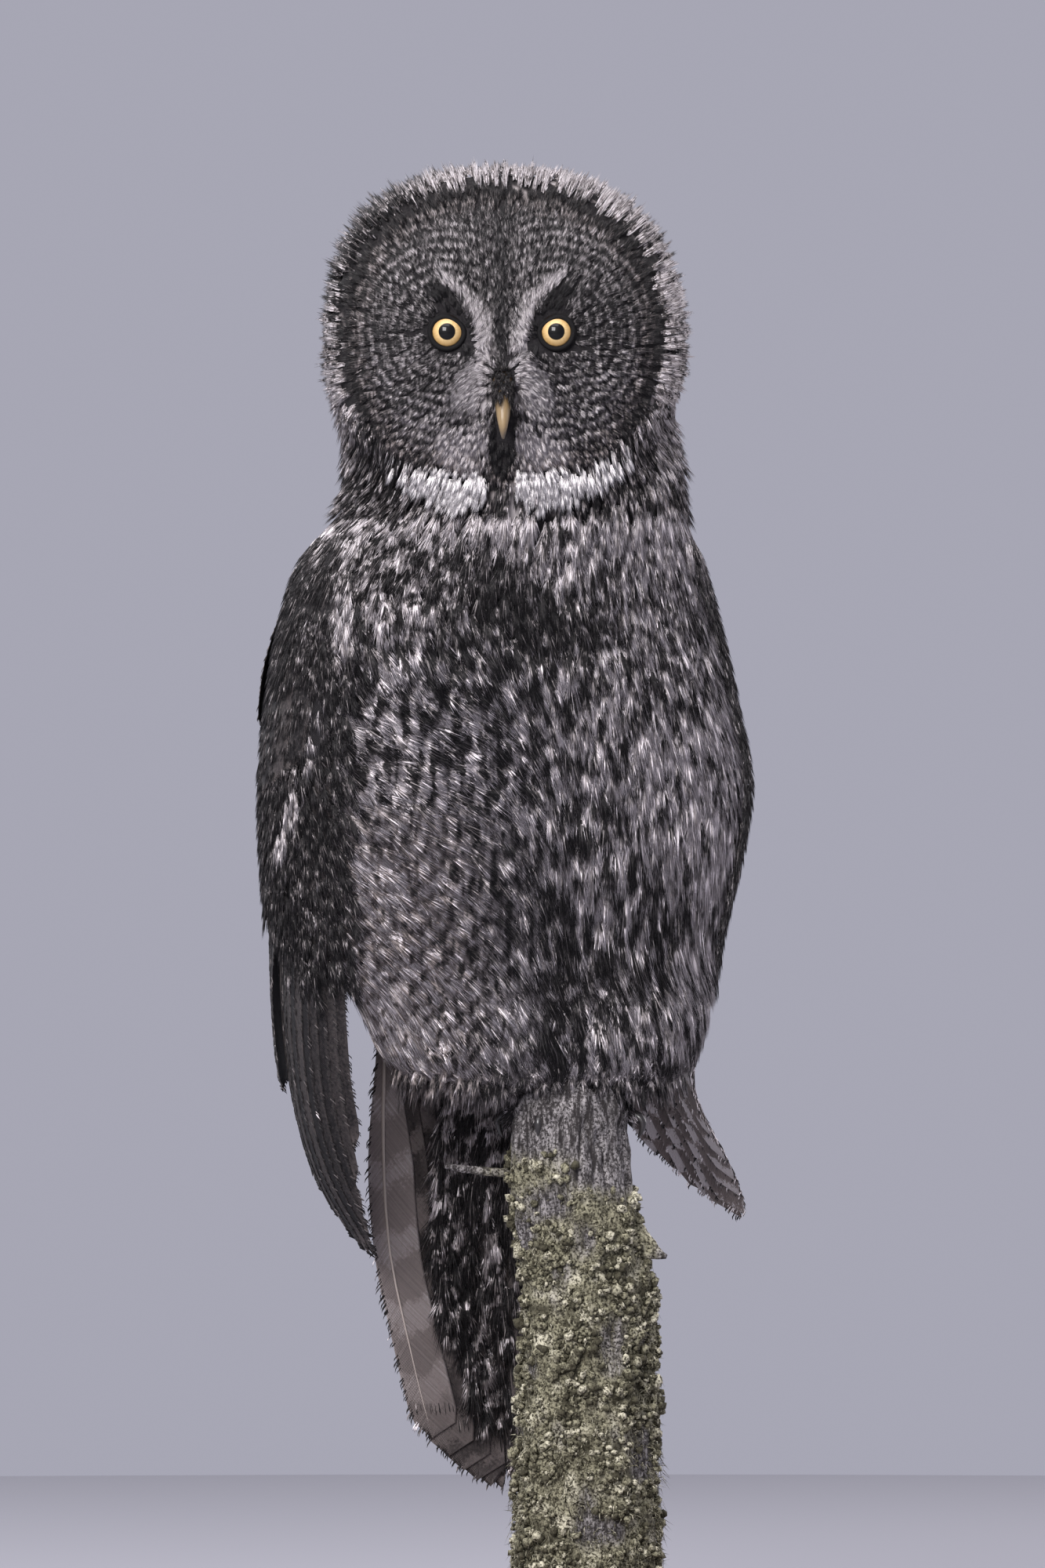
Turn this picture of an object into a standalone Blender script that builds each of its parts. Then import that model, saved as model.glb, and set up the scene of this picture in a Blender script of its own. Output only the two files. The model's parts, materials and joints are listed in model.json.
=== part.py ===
"""A great grey owl, life size, gripping the broken top of a lichened stem on a plain display stand.

The bird looks along -Y, +X is to the viewer's right and +Z is up. The origin is the centre of
the stand's underside, straight below the stem's axis. Sizes are in millimetres until a mesh is made.
"""

import math

import bmesh
import bpy
import numpy as np

MM = 0.001
GAP = 0.3

# Stand and perch
BASE_RADIUS = 150.0
BASE_THICKNESS = 14.0
BASE_BEVEL = 3.0
ROD_RADIUS = 9.0
PERCH_FOOT = 44.0
PERCH_TOP = 287.0
PERCH_TOP_RADIUS = 30.5
PERCH_FOOT_RADIUS = 36.5
PERCH_SIDES = 18
PERCH_ROWS = 9
SHARD_HEIGHT = 19.0
STUB_PATH = ((8.0, -6.0, 238.0), (24.0, -10.0, 226.0), (36.0, -12.0, 213.0), (41.0, -13.0, 205.0))
STUB_RADII = (9.0, 9.0, 8.0, 4.5)
TWIG_PATH = ((-28.0, -6.0, 254.0), (-52.0, -12.0, 256.0), (-66.0, -14.0, 257.5), (-74.0, -15.0, 259.0))
TWIG_RADII = (2.6, 2.3, 2.0, 1.4)

# Head, seen from the front: its outline, and the rim of the facial disc
HEAD_X = -42.5
HEAD_Z = 690.0
HEAD_HALF_WIDTH = 96.0
HEAD_RISE = 94.0
HEAD_DROP = 88.0
HEAD_WIDEST_Y = 12.0
HEAD_BACK_Y = 104.0
OUTLINE_POWER = 2.2
HEAD_SIDES = 32
FACE_SHARES = (0.16, 0.31, 0.46, 0.6, 0.74, 0.88, 1.0)
DISC_X = -44.5
DISC_Z = 694.5
DISC_HALF_WIDTH = 82.0
DISC_RISE = 76.0
DISC_DROP = 77.0
FACE_FRONT_Y = -47.0
DISC_BACK_Y = -9.0
EYE_SPACING = 57.2
EYE_Z = 696.0
EYE_RADIUS = 10.5
EYE_Y = -30.5
BOWL_DEPTH = 8.0
BOWL_REACH = 17.0
LID_RING = 9.0
LID_THICKNESS = 1.5
LID_SIDES = 14
LID_FACES = 5

# Bill: the (y, z) route of each half, its radii, and how flat it is from side to side
BILL_X = DISC_X + 0.8
BILL_PATH = ((-33.0, 669.0), (-43.0, 668.0), (-51.0, 662.0), (-56.5, 653.5), (-58.5, 645.0), (-57.5, 639.5))
BILL_RADII = (7.0, 6.8, 5.9, 4.5, 2.6, 0.8)
LOWER_BILL_PATH = ((-33.0, 655.0), (-42.0, 652.5), (-48.0, 648.5), (-52.5, 643.5))
LOWER_BILL_RADII = (5.0, 4.4, 3.3, 1.1)
BILL_FLATNESS = 0.82
NOSTRIL_APART = 6.6
NOSTRIL_RADIUS = 1.2

# Body turn: the chest faces the viewer's right of the head by this much
BODY_YAW = math.radians(28.0)

# Sections of the body with its wings: height, centre x, half span seen from the front,
# centre y, front depth, back depth
SECTIONS = (
    (650.0, -42.0, 90.0, 30.0, 44.0, 66.0),
    (624.0, -37.5, 90.5, 32.0, 62.0, 68.0),
    (607.0, -38.0, 93.0, 34.0, 68.0, 70.0),
    (591.0, -42.4, 98.5, 36.0, 71.0, 73.0),
    (575.0, -44.5, 106.0, 38.0, 74.0, 76.0),
    (541.0, -44.9, 115.5, 41.0, 80.0, 82.0),
    (500.0, -43.7, 123.5, 44.0, 85.0, 88.0),
    (459.0, -42.0, 128.0, 47.0, 88.0, 90.0),
    (418.0, -44.3, 125.5, 49.0, 89.0, 91.0),
    (377.0, -47.8, 119.5, 52.0, 88.0, 89.0),
    (336.0, -48.6, 114.5, 57.0, 82.0, 85.0),
    (294.0, -50.0, 105.5, 68.0, 70.0, 78.0),
    (253.0, -50.0, 93.0, 80.0, 66.0, 70.0),
    (208.0, -50.0, 68.0, 92.0, 60.0, 62.0),
)
# Where the body alone leaves that shape, below the flanks
BELLY = (
    (377.0, -42.0, 116.0, 51.0, 88.0, 84.0),
    (336.0, -31.0, 97.0, 43.0, 82.0, 76.0),
    (318.0, -27.0, 88.0, 35.0, 75.0, 72.0),
    (304.0, -22.0, 76.0, 27.0, 66.0, 66.0),
    (296.0, -18.0, 62.0, 21.0, 55.0, 56.0),
)
BELLY_FLOOR = 294.0
NECK_SPLIT = 590.0
WING_TOP = 588.0
WING_DEPTH = 12.5
WING_FRONT = math.radians(62.0)
WING_BACK = math.radians(160.0)
BACK_SET_IN = 2.5
BODY_SIDES = 38

# Feathers of the wing: thickness of a vane, and how far each lies above the next
VANE_THICKNESS = 0.9
VANE_STEP = 1.5
FAR_SWING = 57.0
SWING_TOP = 304.0
FAR_SHORTER = 20.0
# Each tier: how many, root height, first angle and angle step at the root, the height where the
# lower pair holds, first angle and step there, widths of the front and back webs
PRIMARIES = (8, 452.0, 69.0, 3.6, 285.0, 66.5, 6.3, 6.5, 17.0)
SECONDARIES = (8, 462.0, 84.0, 8.8, 350.0, 108.0, 6.2, 8.0, 17.0)
GREATER_COVERTS = (7, 506.0, 70.0, 12.8, 410.0, 72.0, 13.2, 10.0, 22.0)
MEDIAN_COVERTS = (6, 541.0, 72.0, 14.0, 460.0, 73.0, 14.6, 11.0, 24.0)
SCAPULARS = (5, 566.0, 120.0, 8.2, 440.0, 121.0, 9.4, 12.0, 20.0)
PRIMARY_TIPS = (266.0, 243.0, 224.0, 211.0, 208.0, 214.0, 225.0, 243.0)
SECONDARY_TIPS = (296.0, 299.0, 304.0, 311.0, 320.0, 331.0, 343.0, 356.0)
# Tips of the coverts and scapulars: the foremost one's height, and how much lower each next one ends
GREATER_TIP = (402.0, 2.0)
MEDIAN_TIP = (462.0, 1.5)
SCAPULAR_TIP = (488.0, 12.0)
# How far each tier lies outside the wing's shape, at some heights
TIER_LIFT = {
    "primaries": ((240.0, -1.0), (300.0, -3.4), (340.0, -5.4), (400.0, -8.8), (440.0, -10.2)),
    "secondaries": ((300.0, 1.6), (340.0, -0.6), (400.0, -4.6), (450.0, -7.0)),
    "greater": ((400.0, -1.4), (450.0, -3.4), (500.0, -5.4)),
    "median": ((460.0, 0.6), (500.0, -1.0), (535.0, -2.6)),
    "scapulars": ((440.0, 3.2), (520.0, 3.0), (545.0, 0.6), (566.0, -3.0)),
}
# Outside of the folded arm, which thins downwards under the rows of feathers
ARM_LIFT = ((424.0, -11.0), (458.0, -8.6), (500.0, -5.0), (545.0, 0.0), (582.0, -0.5))
ARM_HEIGHTS = (582.0, 562.0, 540.0, 512.0, 484.0, 456.0, 424.0)
ARM_ANGLES = (64.5, 157.5)

# Tail: twelve feathers, the middle pair on top
TAIL_HALF = 6
TAIL_ROOT = 322.0
TAIL_TIP = 84.0
TAIL_ROUNDING = 34.0
# Spacing of the shafts down the tail: height, spacing
TAIL_SPACING = ((322.0, 10.4), (253.0, 10.0), (179.0, 9.1), (146.0, 8.7), (84.0, 7.2))
TAIL_INNER_WEB = 14.0
TAIL_OUTER_WEB = 9.5
# The tail's middle line from the rump down: height, x, y
TAIL_PATH = (
    (340.0, -60.0, 84.0),
    (270.0, -63.0, 100.0),
    (208.0, -61.5, 109.0),
    (150.0, -52.0, 116.0),
    (84.0, -41.0, 122.0),
)
# Its coverts: height, half width, thickness above and below
TAIL_COVERTS = (
    (345.0, 44.0, 16.0, 20.0),
    (320.0, 49.0, 17.0, 19.0),
    (295.0, 50.0, 15.0, 16.0),
    (265.0, 48.0, 11.0, 12.5),
    (235.0, 43.0, 7.5, 9.0),
    (205.0, 35.0, 5.0, 6.0),
    (182.0, 22.0, 3.0, 3.5),
)

# Feet: the middle of the pair, half their spacing, and each toe's turn in degrees and reach
FEET_X = -9.0
FEET_Y = 6.0
FEET_SPREAD = 15.0
ANKLE_RISE = 9.0
LEG_RADII = (10.5, 12.5, 13.0)
TOES = ((-4.0, 23.0), (34.0, 23.0), (148.0, 22.0), (-170.0, 22.0))
TOE_RADII = (6.0, 6.0, 5.4, 4.4)
TOE_BEND = ((0.0, -5.0), (0.35, -5.5), (0.7, -6.5), (1.0, -13.0))
# A claw's curve past the toe's end and below the ankle, and its radii
CLAW_CURVE = ((-2.0, -10.5), (3.0, -11.5), (5.5, -14.5), (5.0, -19.0), (3.0, -22.5))
CLAW_RADII = (2.6, 2.7, 2.2, 1.4, 0.5)


def smooth(at, knots, values):
    """A smooth curve through values at knots, with the slope at each knot that of its neighbours."""
    knots = np.asarray(knots, float)
    values = np.asarray(values, float)
    if knots[0] > knots[-1]:
        knots, values = knots[::-1], values[::-1]
    slopes = np.gradient(values, knots)
    at = np.clip(at, knots[0], knots[-1])
    i = np.clip(np.searchsorted(knots, at) - 1, 0, len(knots) - 2)
    span = knots[i + 1] - knots[i]
    t = (at - knots[i]) / span
    return (
        values[i] * (1 + 2 * t) * (1 - t) ** 2
        + slopes[i] * span * t * (1 - t) ** 2
        + values[i + 1] * t**2 * (3 - 2 * t)
        + slopes[i + 1] * span * t**2 * (t - 1)
    )


def ramp(x, low, high):
    """0 below low, 1 above high, and a smooth step between; low may be above high."""
    t = np.clip((np.asarray(x, float) - low) / (high - low), 0, 1)
    return t * t * (3 - 2 * t)


def bump(x, centre, reach):
    """A bell curve of height 1."""
    return np.exp(-(((x - centre) / reach) ** 2) / 2)


def yaw_at(z):
    """The neck twists: the head faces the viewer and the body is turned."""
    return BODY_YAW * ramp(z, 645.0, 535.0)


def section(z, stations):
    """Centre x, centre y, half width and the two depths of a body section at height z."""
    heights = [s[0] for s in stations]
    cx, span, cy, front, back = (smooth(z, heights, [s[k] for s in stations]) for k in range(1, 6))
    turn = yaw_at(z)
    depth = (front + back) / 2
    width = np.sqrt(np.maximum(span**2 - (depth * np.sin(turn)) ** 2, 1.0)) / np.cos(turn)
    return cx, cy, width, front, back


def body_point(angle, z, lift, stations=SECTIONS):
    """A point on the turned body: angle is from the chest towards the owl's right, lift is outwards."""
    cx, cy, width, front, back = section(z, stations)
    turn = yaw_at(z)
    deep = np.where(np.cos(angle) > 0, front, back)
    lateral, rear = width * np.sin(angle), -deep * np.cos(angle)
    nl, nr = np.sin(angle) / width, -np.cos(angle) / deep
    length = np.hypot(nl, nr)
    lateral, rear = lateral + lift * nl / length, rear + lift * nr / length
    x = cx - lateral * np.cos(turn) - rear * np.sin(turn)
    y = cy - lateral * np.sin(turn) + rear * np.cos(turn)
    return np.stack(np.broadcast_arrays(x, y, z), -1)


def material(name, colour, roughness, metallic=0.0):
    made = bpy.data.materials.new(name)
    made.use_nodes = True
    shader = made.node_tree.nodes["Principled BSDF"]
    shader.inputs["Base Color"].default_value = (*colour, 1.0)
    shader.inputs["Roughness"].default_value = roughness
    shader.inputs["Metallic"].default_value = metallic
    return made


def solid(name, points, faces, finish=None):
    """One closed mesh object, its points given in millimetres, with its faces turned outwards."""
    mesh = bpy.data.meshes.new(name)
    mesh.from_pydata((np.asarray(points, float) * MM).tolist(), [], [list(map(int, f)) for f in faces])
    shape = bmesh.new()
    shape.from_mesh(mesh)
    bmesh.ops.triangulate(shape, faces=shape.faces)
    bmesh.ops.recalc_face_normals(shape, faces=shape.faces)
    shape.to_mesh(mesh)
    shape.free()
    made = bpy.data.objects.new(name, mesh)
    bpy.context.scene.collection.objects.link(made)
    if finish:
        mesh.materials.append(finish)
    return made


def ring_faces(rows, sides, start=0):
    """Quads between closed rings of points."""
    faces = []
    for r in range(rows - 1):
        for s in range(sides):
            a, b = start + r * sides + s, start + r * sides + (s + 1) % sides
            faces.append((a, b, b + sides, a + sides))
    return faces


def loft(name, rings, finish=None):
    """A closed solid through rings of points, each with a point at its middle as a cap."""
    rings = np.asarray(rings, float)
    rows, sides = rings.shape[:2]
    points = [*rings.reshape(-1, 3), rings[0].mean(0), rings[-1].mean(0)]
    faces = ring_faces(rows, sides)
    for s in range(sides):
        faces.append((s, (s + 1) % sides, rows * sides))
        last = (rows - 1) * sides
        faces.append((last + s, last + (s + 1) % sides, rows * sides + 1))
    return solid(name, points, faces, finish)


def sheet(name, outer, inner, finish=None):
    """A closed solid between two grids of the same size, split into triangles alike on both faces."""
    rows, columns = outer.shape[:2]
    count = rows * columns
    points = np.concatenate([outer.reshape(-1, 3), inner.reshape(-1, 3)])
    faces = []
    for r in range(rows - 1):
        for c in range(columns - 1):
            a, b = r * columns + c, r * columns + c + 1
            d, e = a + columns, b + columns
            faces += [(a, b, e), (a, e, d)]
            faces += [(a + count, e + count, b + count), (a + count, d + count, e + count)]
    edge = list(range(columns))
    edge += [r * columns + columns - 1 for r in range(1, rows)]
    edge += [(rows - 1) * columns + c for c in range(columns - 2, -1, -1)]
    edge += [r * columns for r in range(rows - 2, 0, -1)]
    for a, b in zip(edge, edge[1:] + edge[:1]):
        faces += [(a, b, b + count), (a, b + count, a + count)]
    return solid(name, points, faces, finish)


def ball(name, centre, radius, sides=14, rows=7, finish=None):
    """A ball whose poles lie along Y."""
    polar = np.linspace(0, math.pi, rows + 2)[1:-1]
    around = np.arange(sides) * 2 * math.pi / sides
    rings = [
        np.stack(
            [
                centre[0] + radius * math.sin(p) * np.cos(around),
                np.full(sides, centre[1] - radius * math.cos(p)),
                centre[2] + radius * math.sin(p) * np.sin(around),
            ],
            -1,
        )
        for p in polar
    ]
    made = loft(name, rings, finish)
    for vertex, y in zip(list(made.data.vertices)[-2:], (centre[1] - radius, centre[1] + radius)):
        vertex.co.y = y * MM
    return made


def tube(name, path, radii, sides=8, finish=None, flat=1.0, across=(1.0, 0.0, 0.0)):
    """A tapered tube along a path, with an oval section: flat scales it along `across`."""
    path, radii = np.asarray(path, float), np.asarray(radii, float)
    along = np.gradient(path, axis=0)
    along /= np.linalg.norm(along, axis=1)[:, None]
    side = np.asarray(across, float) - along * (along @ np.asarray(across, float))[:, None]
    side /= np.linalg.norm(side, axis=1)[:, None]
    up = np.cross(along, side)
    turn = np.arange(sides) * 2 * math.pi / sides
    rings = path[:, None] + radii[:, None, None] * (
        flat * side[:, None] * np.cos(turn)[None, :, None] + up[:, None] * np.sin(turn)[None, :, None]
    )
    return loft(name, rings, finish)


def applied(target):
    """The object with its modifiers made real."""
    graph = bpy.context.evaluated_depsgraph_get()
    mesh = bpy.data.meshes.new_from_object(target.evaluated_get(graph))
    target.modifiers.clear()
    target.data = mesh
    return target


def boolean(target, other, operation="DIFFERENCE", solver="EXACT"):
    """One cut of target by other, which is then removed."""
    step = target.modifiers.new("cut", "BOOLEAN")
    step.operation = operation
    step.solver = solver
    step.object = other
    applied(target)
    bpy.data.objects.remove(other)
    return largest(target)


def fuse(target, pieces, solver="MANIFOLD"):
    """One Boolean union of target with many closed pieces, whose objects are then removed."""
    group = bpy.data.collections.new(target.name + "_pieces")
    bpy.context.scene.collection.children.link(group)
    for piece in pieces:
        bpy.context.scene.collection.objects.unlink(piece)
        group.objects.link(piece)
    step = target.modifiers.new("join", "BOOLEAN")
    step.operation = "UNION"
    step.operand_type = "COLLECTION"
    step.solver = solver
    step.collection = group
    applied(target)
    for piece in pieces:
        bpy.data.objects.remove(piece)
    bpy.data.collections.remove(group)
    return largest(target)


def largest(target):
    """Keeps the largest closed surface, so that a sealed hollow or a loose scrap goes."""
    shape = bmesh.new()
    shape.from_mesh(target.data)
    left, groups = set(shape.faces), []
    while left:
        front, group = [left.pop()], []
        while front:
            face = front.pop()
            group.append(face)
            for edge in face.edges:
                for near in edge.link_faces:
                    if near in left:
                        left.remove(near)
                        front.append(near)
        groups.append(group)
    groups.sort(key=lambda g: sum(f.calc_area() for f in g))
    for group in groups[:-1]:
        bmesh.ops.delete(shape, geom=group, context="FACES")
    shape.to_mesh(target.data)
    shape.free()
    return target


def box_cutter(low, high):
    """A plain box between two corners, in millimetres."""
    corners = [(x, y, z) for x in (low[0], high[0]) for y in (low[1], high[1]) for z in (low[2], high[2])]
    faces = [(0, 1, 3, 2), (4, 6, 7, 5), (0, 4, 5, 1), (2, 3, 7, 6), (0, 2, 6, 4), (1, 5, 7, 3)]
    return solid("cutter", corners, faces)


def outline_radius(turn, width, rise, drop):
    """Radius of the head's rounded outline at an angle from +X."""
    c, s = np.abs(np.cos(turn)), np.sin(turn)
    tall = np.where(s > 0, rise, drop)
    return ((c / width) ** OUTLINE_POWER + (np.abs(s) / tall) ** OUTLINE_POWER) ** (-1 / OUTLINE_POWER)


def rim_y(turn):
    """The disc's rim: its sides sweep back, its chin comes forward."""
    up, down = np.maximum(np.sin(turn), 0), np.maximum(-np.sin(turn), 0)
    return -18.0 - 5.0 * up**2 - 16.0 * down**2


def face_y(turn, share):
    """Depth of the face at a share of the way from its middle to its rim, with a bowl round each eye."""
    radius = outline_radius(turn, DISC_HALF_WIDTH, DISC_RISE, DISC_DROP) * share
    x, z = DISC_X + radius * np.cos(turn), DISC_Z + radius * np.sin(turn)
    swept = share**2.6
    y = FACE_FRONT_Y * (1 - swept) + rim_y(turn) * swept
    for side in (-1, 1):
        far = np.hypot(x - (DISC_X + side * EYE_SPACING / 2), z - EYE_Z)
        y = y + BOWL_DEPTH * bump(far, 0.0, BOWL_REACH)
    return y + 2.0 * bump(share, 0.9, 0.05) - 2.5 * bump(share, 1.0, 0.04)


def head_rings(grow=0.0):
    """Rings from the middle of the face out over the rim and the sides to the back of the head."""
    turn = np.arange(HEAD_SIDES) * 2 * math.pi / HEAD_SIDES
    rim = outline_radius(turn, DISC_HALF_WIDTH, DISC_RISE, DISC_DROP)
    side = outline_radius(turn, HEAD_HALF_WIDTH + grow, HEAD_RISE + grow, HEAD_DROP + grow)
    rings = []
    for share in FACE_SHARES:
        rings.append((DISC_X, DISC_Z, rim * share, face_y(turn, share) - grow))
    edge = face_y(turn, 1.0) - grow
    for step in np.linspace(0, 1, 4)[1:]:
        a = step * math.pi / 2
        radius = rim + (side - rim) * math.sin(a)
        x, z = DISC_X + (HEAD_X - DISC_X) * step, DISC_Z + (HEAD_Z - DISC_Z) * step
        rings.append((x, z, radius, edge + (HEAD_WIDEST_Y - edge) * (1 - math.cos(a))))
    for step in np.linspace(0, 1, 7)[1:-1]:
        a = step * math.pi / 2
        deep = HEAD_WIDEST_Y + (HEAD_BACK_Y + grow - HEAD_WIDEST_Y) * math.sin(a)
        rings.append((HEAD_X, HEAD_Z, side * math.cos(a) ** 0.9, np.full(HEAD_SIDES, deep)))
    return [
        np.stack([x + radius * np.cos(turn), y, z + radius * np.sin(turn)], -1) for x, z, radius, y in rings
    ]


def head_form(name, grow=0.0):
    """The whole head with its disc, grown all over where it is to cut a room."""
    made = loft(name, head_rings(grow))
    points = list(made.data.vertices)[-2:]
    points[0].co.y = (float(face_y(0.0, 0.0)) - grow) * MM
    points[1].co.y = (HEAD_BACK_Y + grow + 1.0) * MM
    return made


def build_head(feathers):
    """The head, and the facial disc as a bowl let into its front."""
    head = head_form("head")
    turn = np.arange(HEAD_SIDES) * 2 * math.pi / HEAD_SIDES
    rim = outline_radius(turn, DISC_HALF_WIDTH - 4, DISC_RISE - 4, DISC_DROP - 4)
    prisms = []
    for grow in (0.0, GAP):
        x, z = DISC_X + (rim + grow) * np.cos(turn), DISC_Z + (rim + grow) * np.sin(turn)
        rings = [np.stack([x, np.full(HEAD_SIDES, y), z], -1) for y in (-80.0, DISC_BACK_Y + grow)]
        prisms.append(loft("prism", rings))
    disc = head.copy()
    disc.data = head.data.copy()
    disc.name = "facial_disc"
    bpy.context.scene.collection.objects.link(disc)
    boolean(disc, prisms[0], "INTERSECT")
    boolean(head, prisms[1])
    for made in (head, disc):
        made.data.materials.clear()
        made.data.materials.append(feathers)
    return head, disc


def eye_centres():
    return [(side, (DISC_X + side * EYE_SPACING / 2, EYE_Y, EYE_Z)) for side in (1, -1)]


def lid_ring(name, centre, grow, finish=None):
    """The bare rim round an eye, deeper over its top where the lid hangs."""
    turn = np.arange(LID_SIDES) * 2 * math.pi / LID_SIDES
    thick = LID_THICKNESS + grow
    hood = 0.5 * np.maximum(np.sin(turn), 0) ** 2
    rings = []
    for a in np.arange(LID_FACES) * 2 * math.pi / LID_FACES:
        radius = LID_RING - hood + thick * math.cos(a)
        y = np.full(LID_SIDES, centre[1] - 6.9 + thick * math.sin(a))
        rings.append(np.stack([centre[0] + radius * np.cos(turn), y, centre[2] + radius * np.sin(turn)], -1))
    points = np.concatenate(rings)
    faces = []
    for r in range(LID_FACES):
        for s in range(LID_SIDES):
            a, b = r * LID_SIDES + s, r * LID_SIDES + (s + 1) % LID_SIDES
            c, d = (b + LID_SIDES) % (LID_FACES * LID_SIDES), (a + LID_SIDES) % (LID_FACES * LID_SIDES)
            faces.append((a, b, c, d))
    return solid(name, points, faces, finish)


def build_eyes(disc, iris, skin):
    for side, centre in eye_centres():
        label = "left" if side > 0 else "right"
        ball(f"eye_{label}", centre, EYE_RADIUS, finish=iris)
        lid = lid_ring(f"eyelid_{label}", centre, 0.0, skin)
        boolean(lid, ball("socket", centre, EYE_RADIUS + 2 * GAP, 14, 7))
        boolean(disc, lid_ring("lid_room", centre, GAP))
        boolean(disc, ball("socket", centre, EYE_RADIUS + 2 * GAP, 14, 7))


def bill_piece(name, path, radii, grow, finish=None):
    points = [(BILL_X, y, z) for y, z in path]
    return tube(name, points, np.asarray(radii) + grow, 12, finish, BILL_FLATNESS)


def build_bill(disc, horn):
    upper = bill_piece("bill_upper", BILL_PATH, BILL_RADII, 0.0, horn)
    lower = bill_piece("bill_lower", LOWER_BILL_PATH, LOWER_BILL_RADII, 0.0, horn)
    boolean(lower, bill_piece("room", BILL_PATH, BILL_RADII, GAP))
    boolean(disc, bill_piece("room", BILL_PATH, BILL_RADII, GAP))
    boolean(disc, bill_piece("room", LOWER_BILL_PATH, LOWER_BILL_RADII, GAP))
    for side in (-1, 1):
        x = BILL_X + side * NOSTRIL_APART / 2
        route = [(x, -60.0, 668.0), (x, -45.0, 663.5)]
        nostril = tube("nostril", route, (NOSTRIL_RADIUS, NOSTRIL_RADIUS), 8)
        boolean(upper, nostril)


def body_rings(heights, lift_at, stations=SECTIONS, sides=BODY_SIDES):
    angle = np.arange(sides) * 2 * math.pi / sides
    return [body_point(angle, z, lift_at(angle, z), stations) for z in heights]


def wing_room(angle, z):
    """How far the body is set in under a wing, which lies flush in it."""
    turned = np.abs((angle + math.pi) % (2 * math.pi) - math.pi)
    under = ramp(turned, WING_FRONT - 0.05, WING_FRONT + 0.12)
    back = ramp(turned, WING_BACK + 0.02, WING_BACK + 0.16)
    depth = WING_DEPTH * under * (1 - back) + BACK_SET_IN * back
    return -depth * ramp(z, WING_TOP, WING_TOP - 16.0)


def torso_rings(grow=0.0):
    upper = [600.0, 588.0, 580.0, 571.0, 558.0, 538.0, 512.0, 484.0, 456.0, 428.0, 402.0, 377.0]
    rings = body_rings(upper, lambda a, z: wing_room(a, z) + grow)
    angle = np.arange(BODY_SIDES) * 2 * math.pi / BODY_SIDES
    for z in (360.0, 344.0, 329.0, 315.0, 304.0, 296.0):
        share = ramp(z, 377.0, 340.0)
        upper_ring = body_point(angle, z, wing_room(angle, z) + grow)
        lower_ring = body_point(angle, z, grow, BELLY)
        ring = upper_ring * (1 - share) + lower_ring * share
        rings.append(ring)
    middle = rings[-1].mean(0)
    last = middle + (rings[-1] - middle) * 0.72
    last[:, 2] = BELLY_FLOOR - grow
    rings.append(last)
    return rings


def build_torso(feathers):
    torso = loft("torso", torso_rings(), feathers)
    boolean(torso, box_cutter((-400, -300, NECK_SPLIT), (300, 400, 700)))
    return torso


def build_neck(feathers):
    heights = (NECK_SPLIT + GAP, 599.0, 609.0, 620.0, 634.0, 650.0)
    neck = loft("neck", body_rings(heights, lambda a, z: 0.0 * a), feathers)
    boolean(neck, head_form("room", GAP))
    return neck


def wing_point(angle, z, lift, side):
    """A point on the wing's shape: side is 1 for the owl's right, -1 for its left, whose tip swings out."""
    point = body_point(side * angle, z, lift + 1.5)
    if side < 0:
        out = FAR_SWING * np.clip((SWING_TOP - z) / (SWING_TOP - 230.0), 0, 1.2) ** 1.3
        point[..., 0] += out
        point[..., 1] += 0.2 * out
    return point


def arc_length(angle, z):
    """Millimetres along the body's section for one radian."""
    _, _, width, front, back = section(z, SECTIONS)
    deep = np.where(np.cos(angle) > 0, front, back)
    return np.hypot(width * np.cos(angle), deep * np.sin(angle))


def rank(angle, z, tier):
    """Which feather of a tier has its shaft at this angle and height, counted from the front."""
    _, root, first, step, lower, low_first, low_step, _, _ = tier
    share = np.clip((root - z) / (root - lower), 0, 1)
    start = first + (low_first - first) * share
    space = step + (low_step - step) * share
    return (np.degrees(angle) - start) / space, start, space


def vane_levels(root, tip, levels):
    """Heights of a vane's rows: the ones its tier shares, then two of its own near the rounded tip."""
    inner = [z for z in levels if tip + 20.0 < z < root - 6.0]
    return np.array([root, *inner, tip + 9.0, tip])


def vane_share(t, length):
    """Width along a vane: narrow at the root, full from a third down, and rounded at the tip."""
    left = np.clip((1 - t) * length / 16.0, 0.0, 1.0)
    return (0.55 + 0.45 * ramp(t, 0.0, 0.35)) * np.maximum(np.sqrt(1 - (1 - left) ** 2), 0.3)


def wing_vane(kind, tier, number, tip, levels, side):
    """One flight feather or covert, lying on the wing's shape with its back web under its neighbour."""
    _, root, _, _, _, _, _, front_web, back_web = tier
    z = vane_levels(root, tip, levels)
    t = (root - z) / (root - tip)
    _, start, space = rank(0.0, z, tier)
    shaft = np.radians(start + space * number)
    wide = vane_share(t, root - tip) / arc_length(shaft, z)
    angle = np.stack([shaft - front_web * wide, shaft, shaft + back_web * wide], 1)
    rows = np.broadcast_to(z[:, None], angle.shape)
    lift = np.interp(rows, *zip(*TIER_LIFT[kind]))
    lift = lift + VANE_STEP * (number - rank(angle, rows, tier)[0]) + np.array((0.0, 0.25, 0.0))
    outer = wing_point(angle, rows, lift + VANE_THICKNESS / 2, side)
    inner = wing_point(angle, rows, lift - VANE_THICKNESS / 2, side)
    return sheet("vane", outer, inner)


def wing_core(name, side, finish):
    """The folded arm and hand, from the shoulder down to the roots of the flight feathers."""
    angle = np.radians(np.linspace(*ARM_ANGLES, 10))
    angle, z = np.broadcast_arrays(angle, np.array(ARM_HEIGHTS)[:, None])
    outer = wing_point(angle, z, np.interp(z, *zip(*ARM_LIFT)), side)
    inner = wing_point(angle, z, np.full(z.shape, -WING_DEPTH - 3.5), side)
    return sheet(name, outer, inner, finish)


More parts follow.
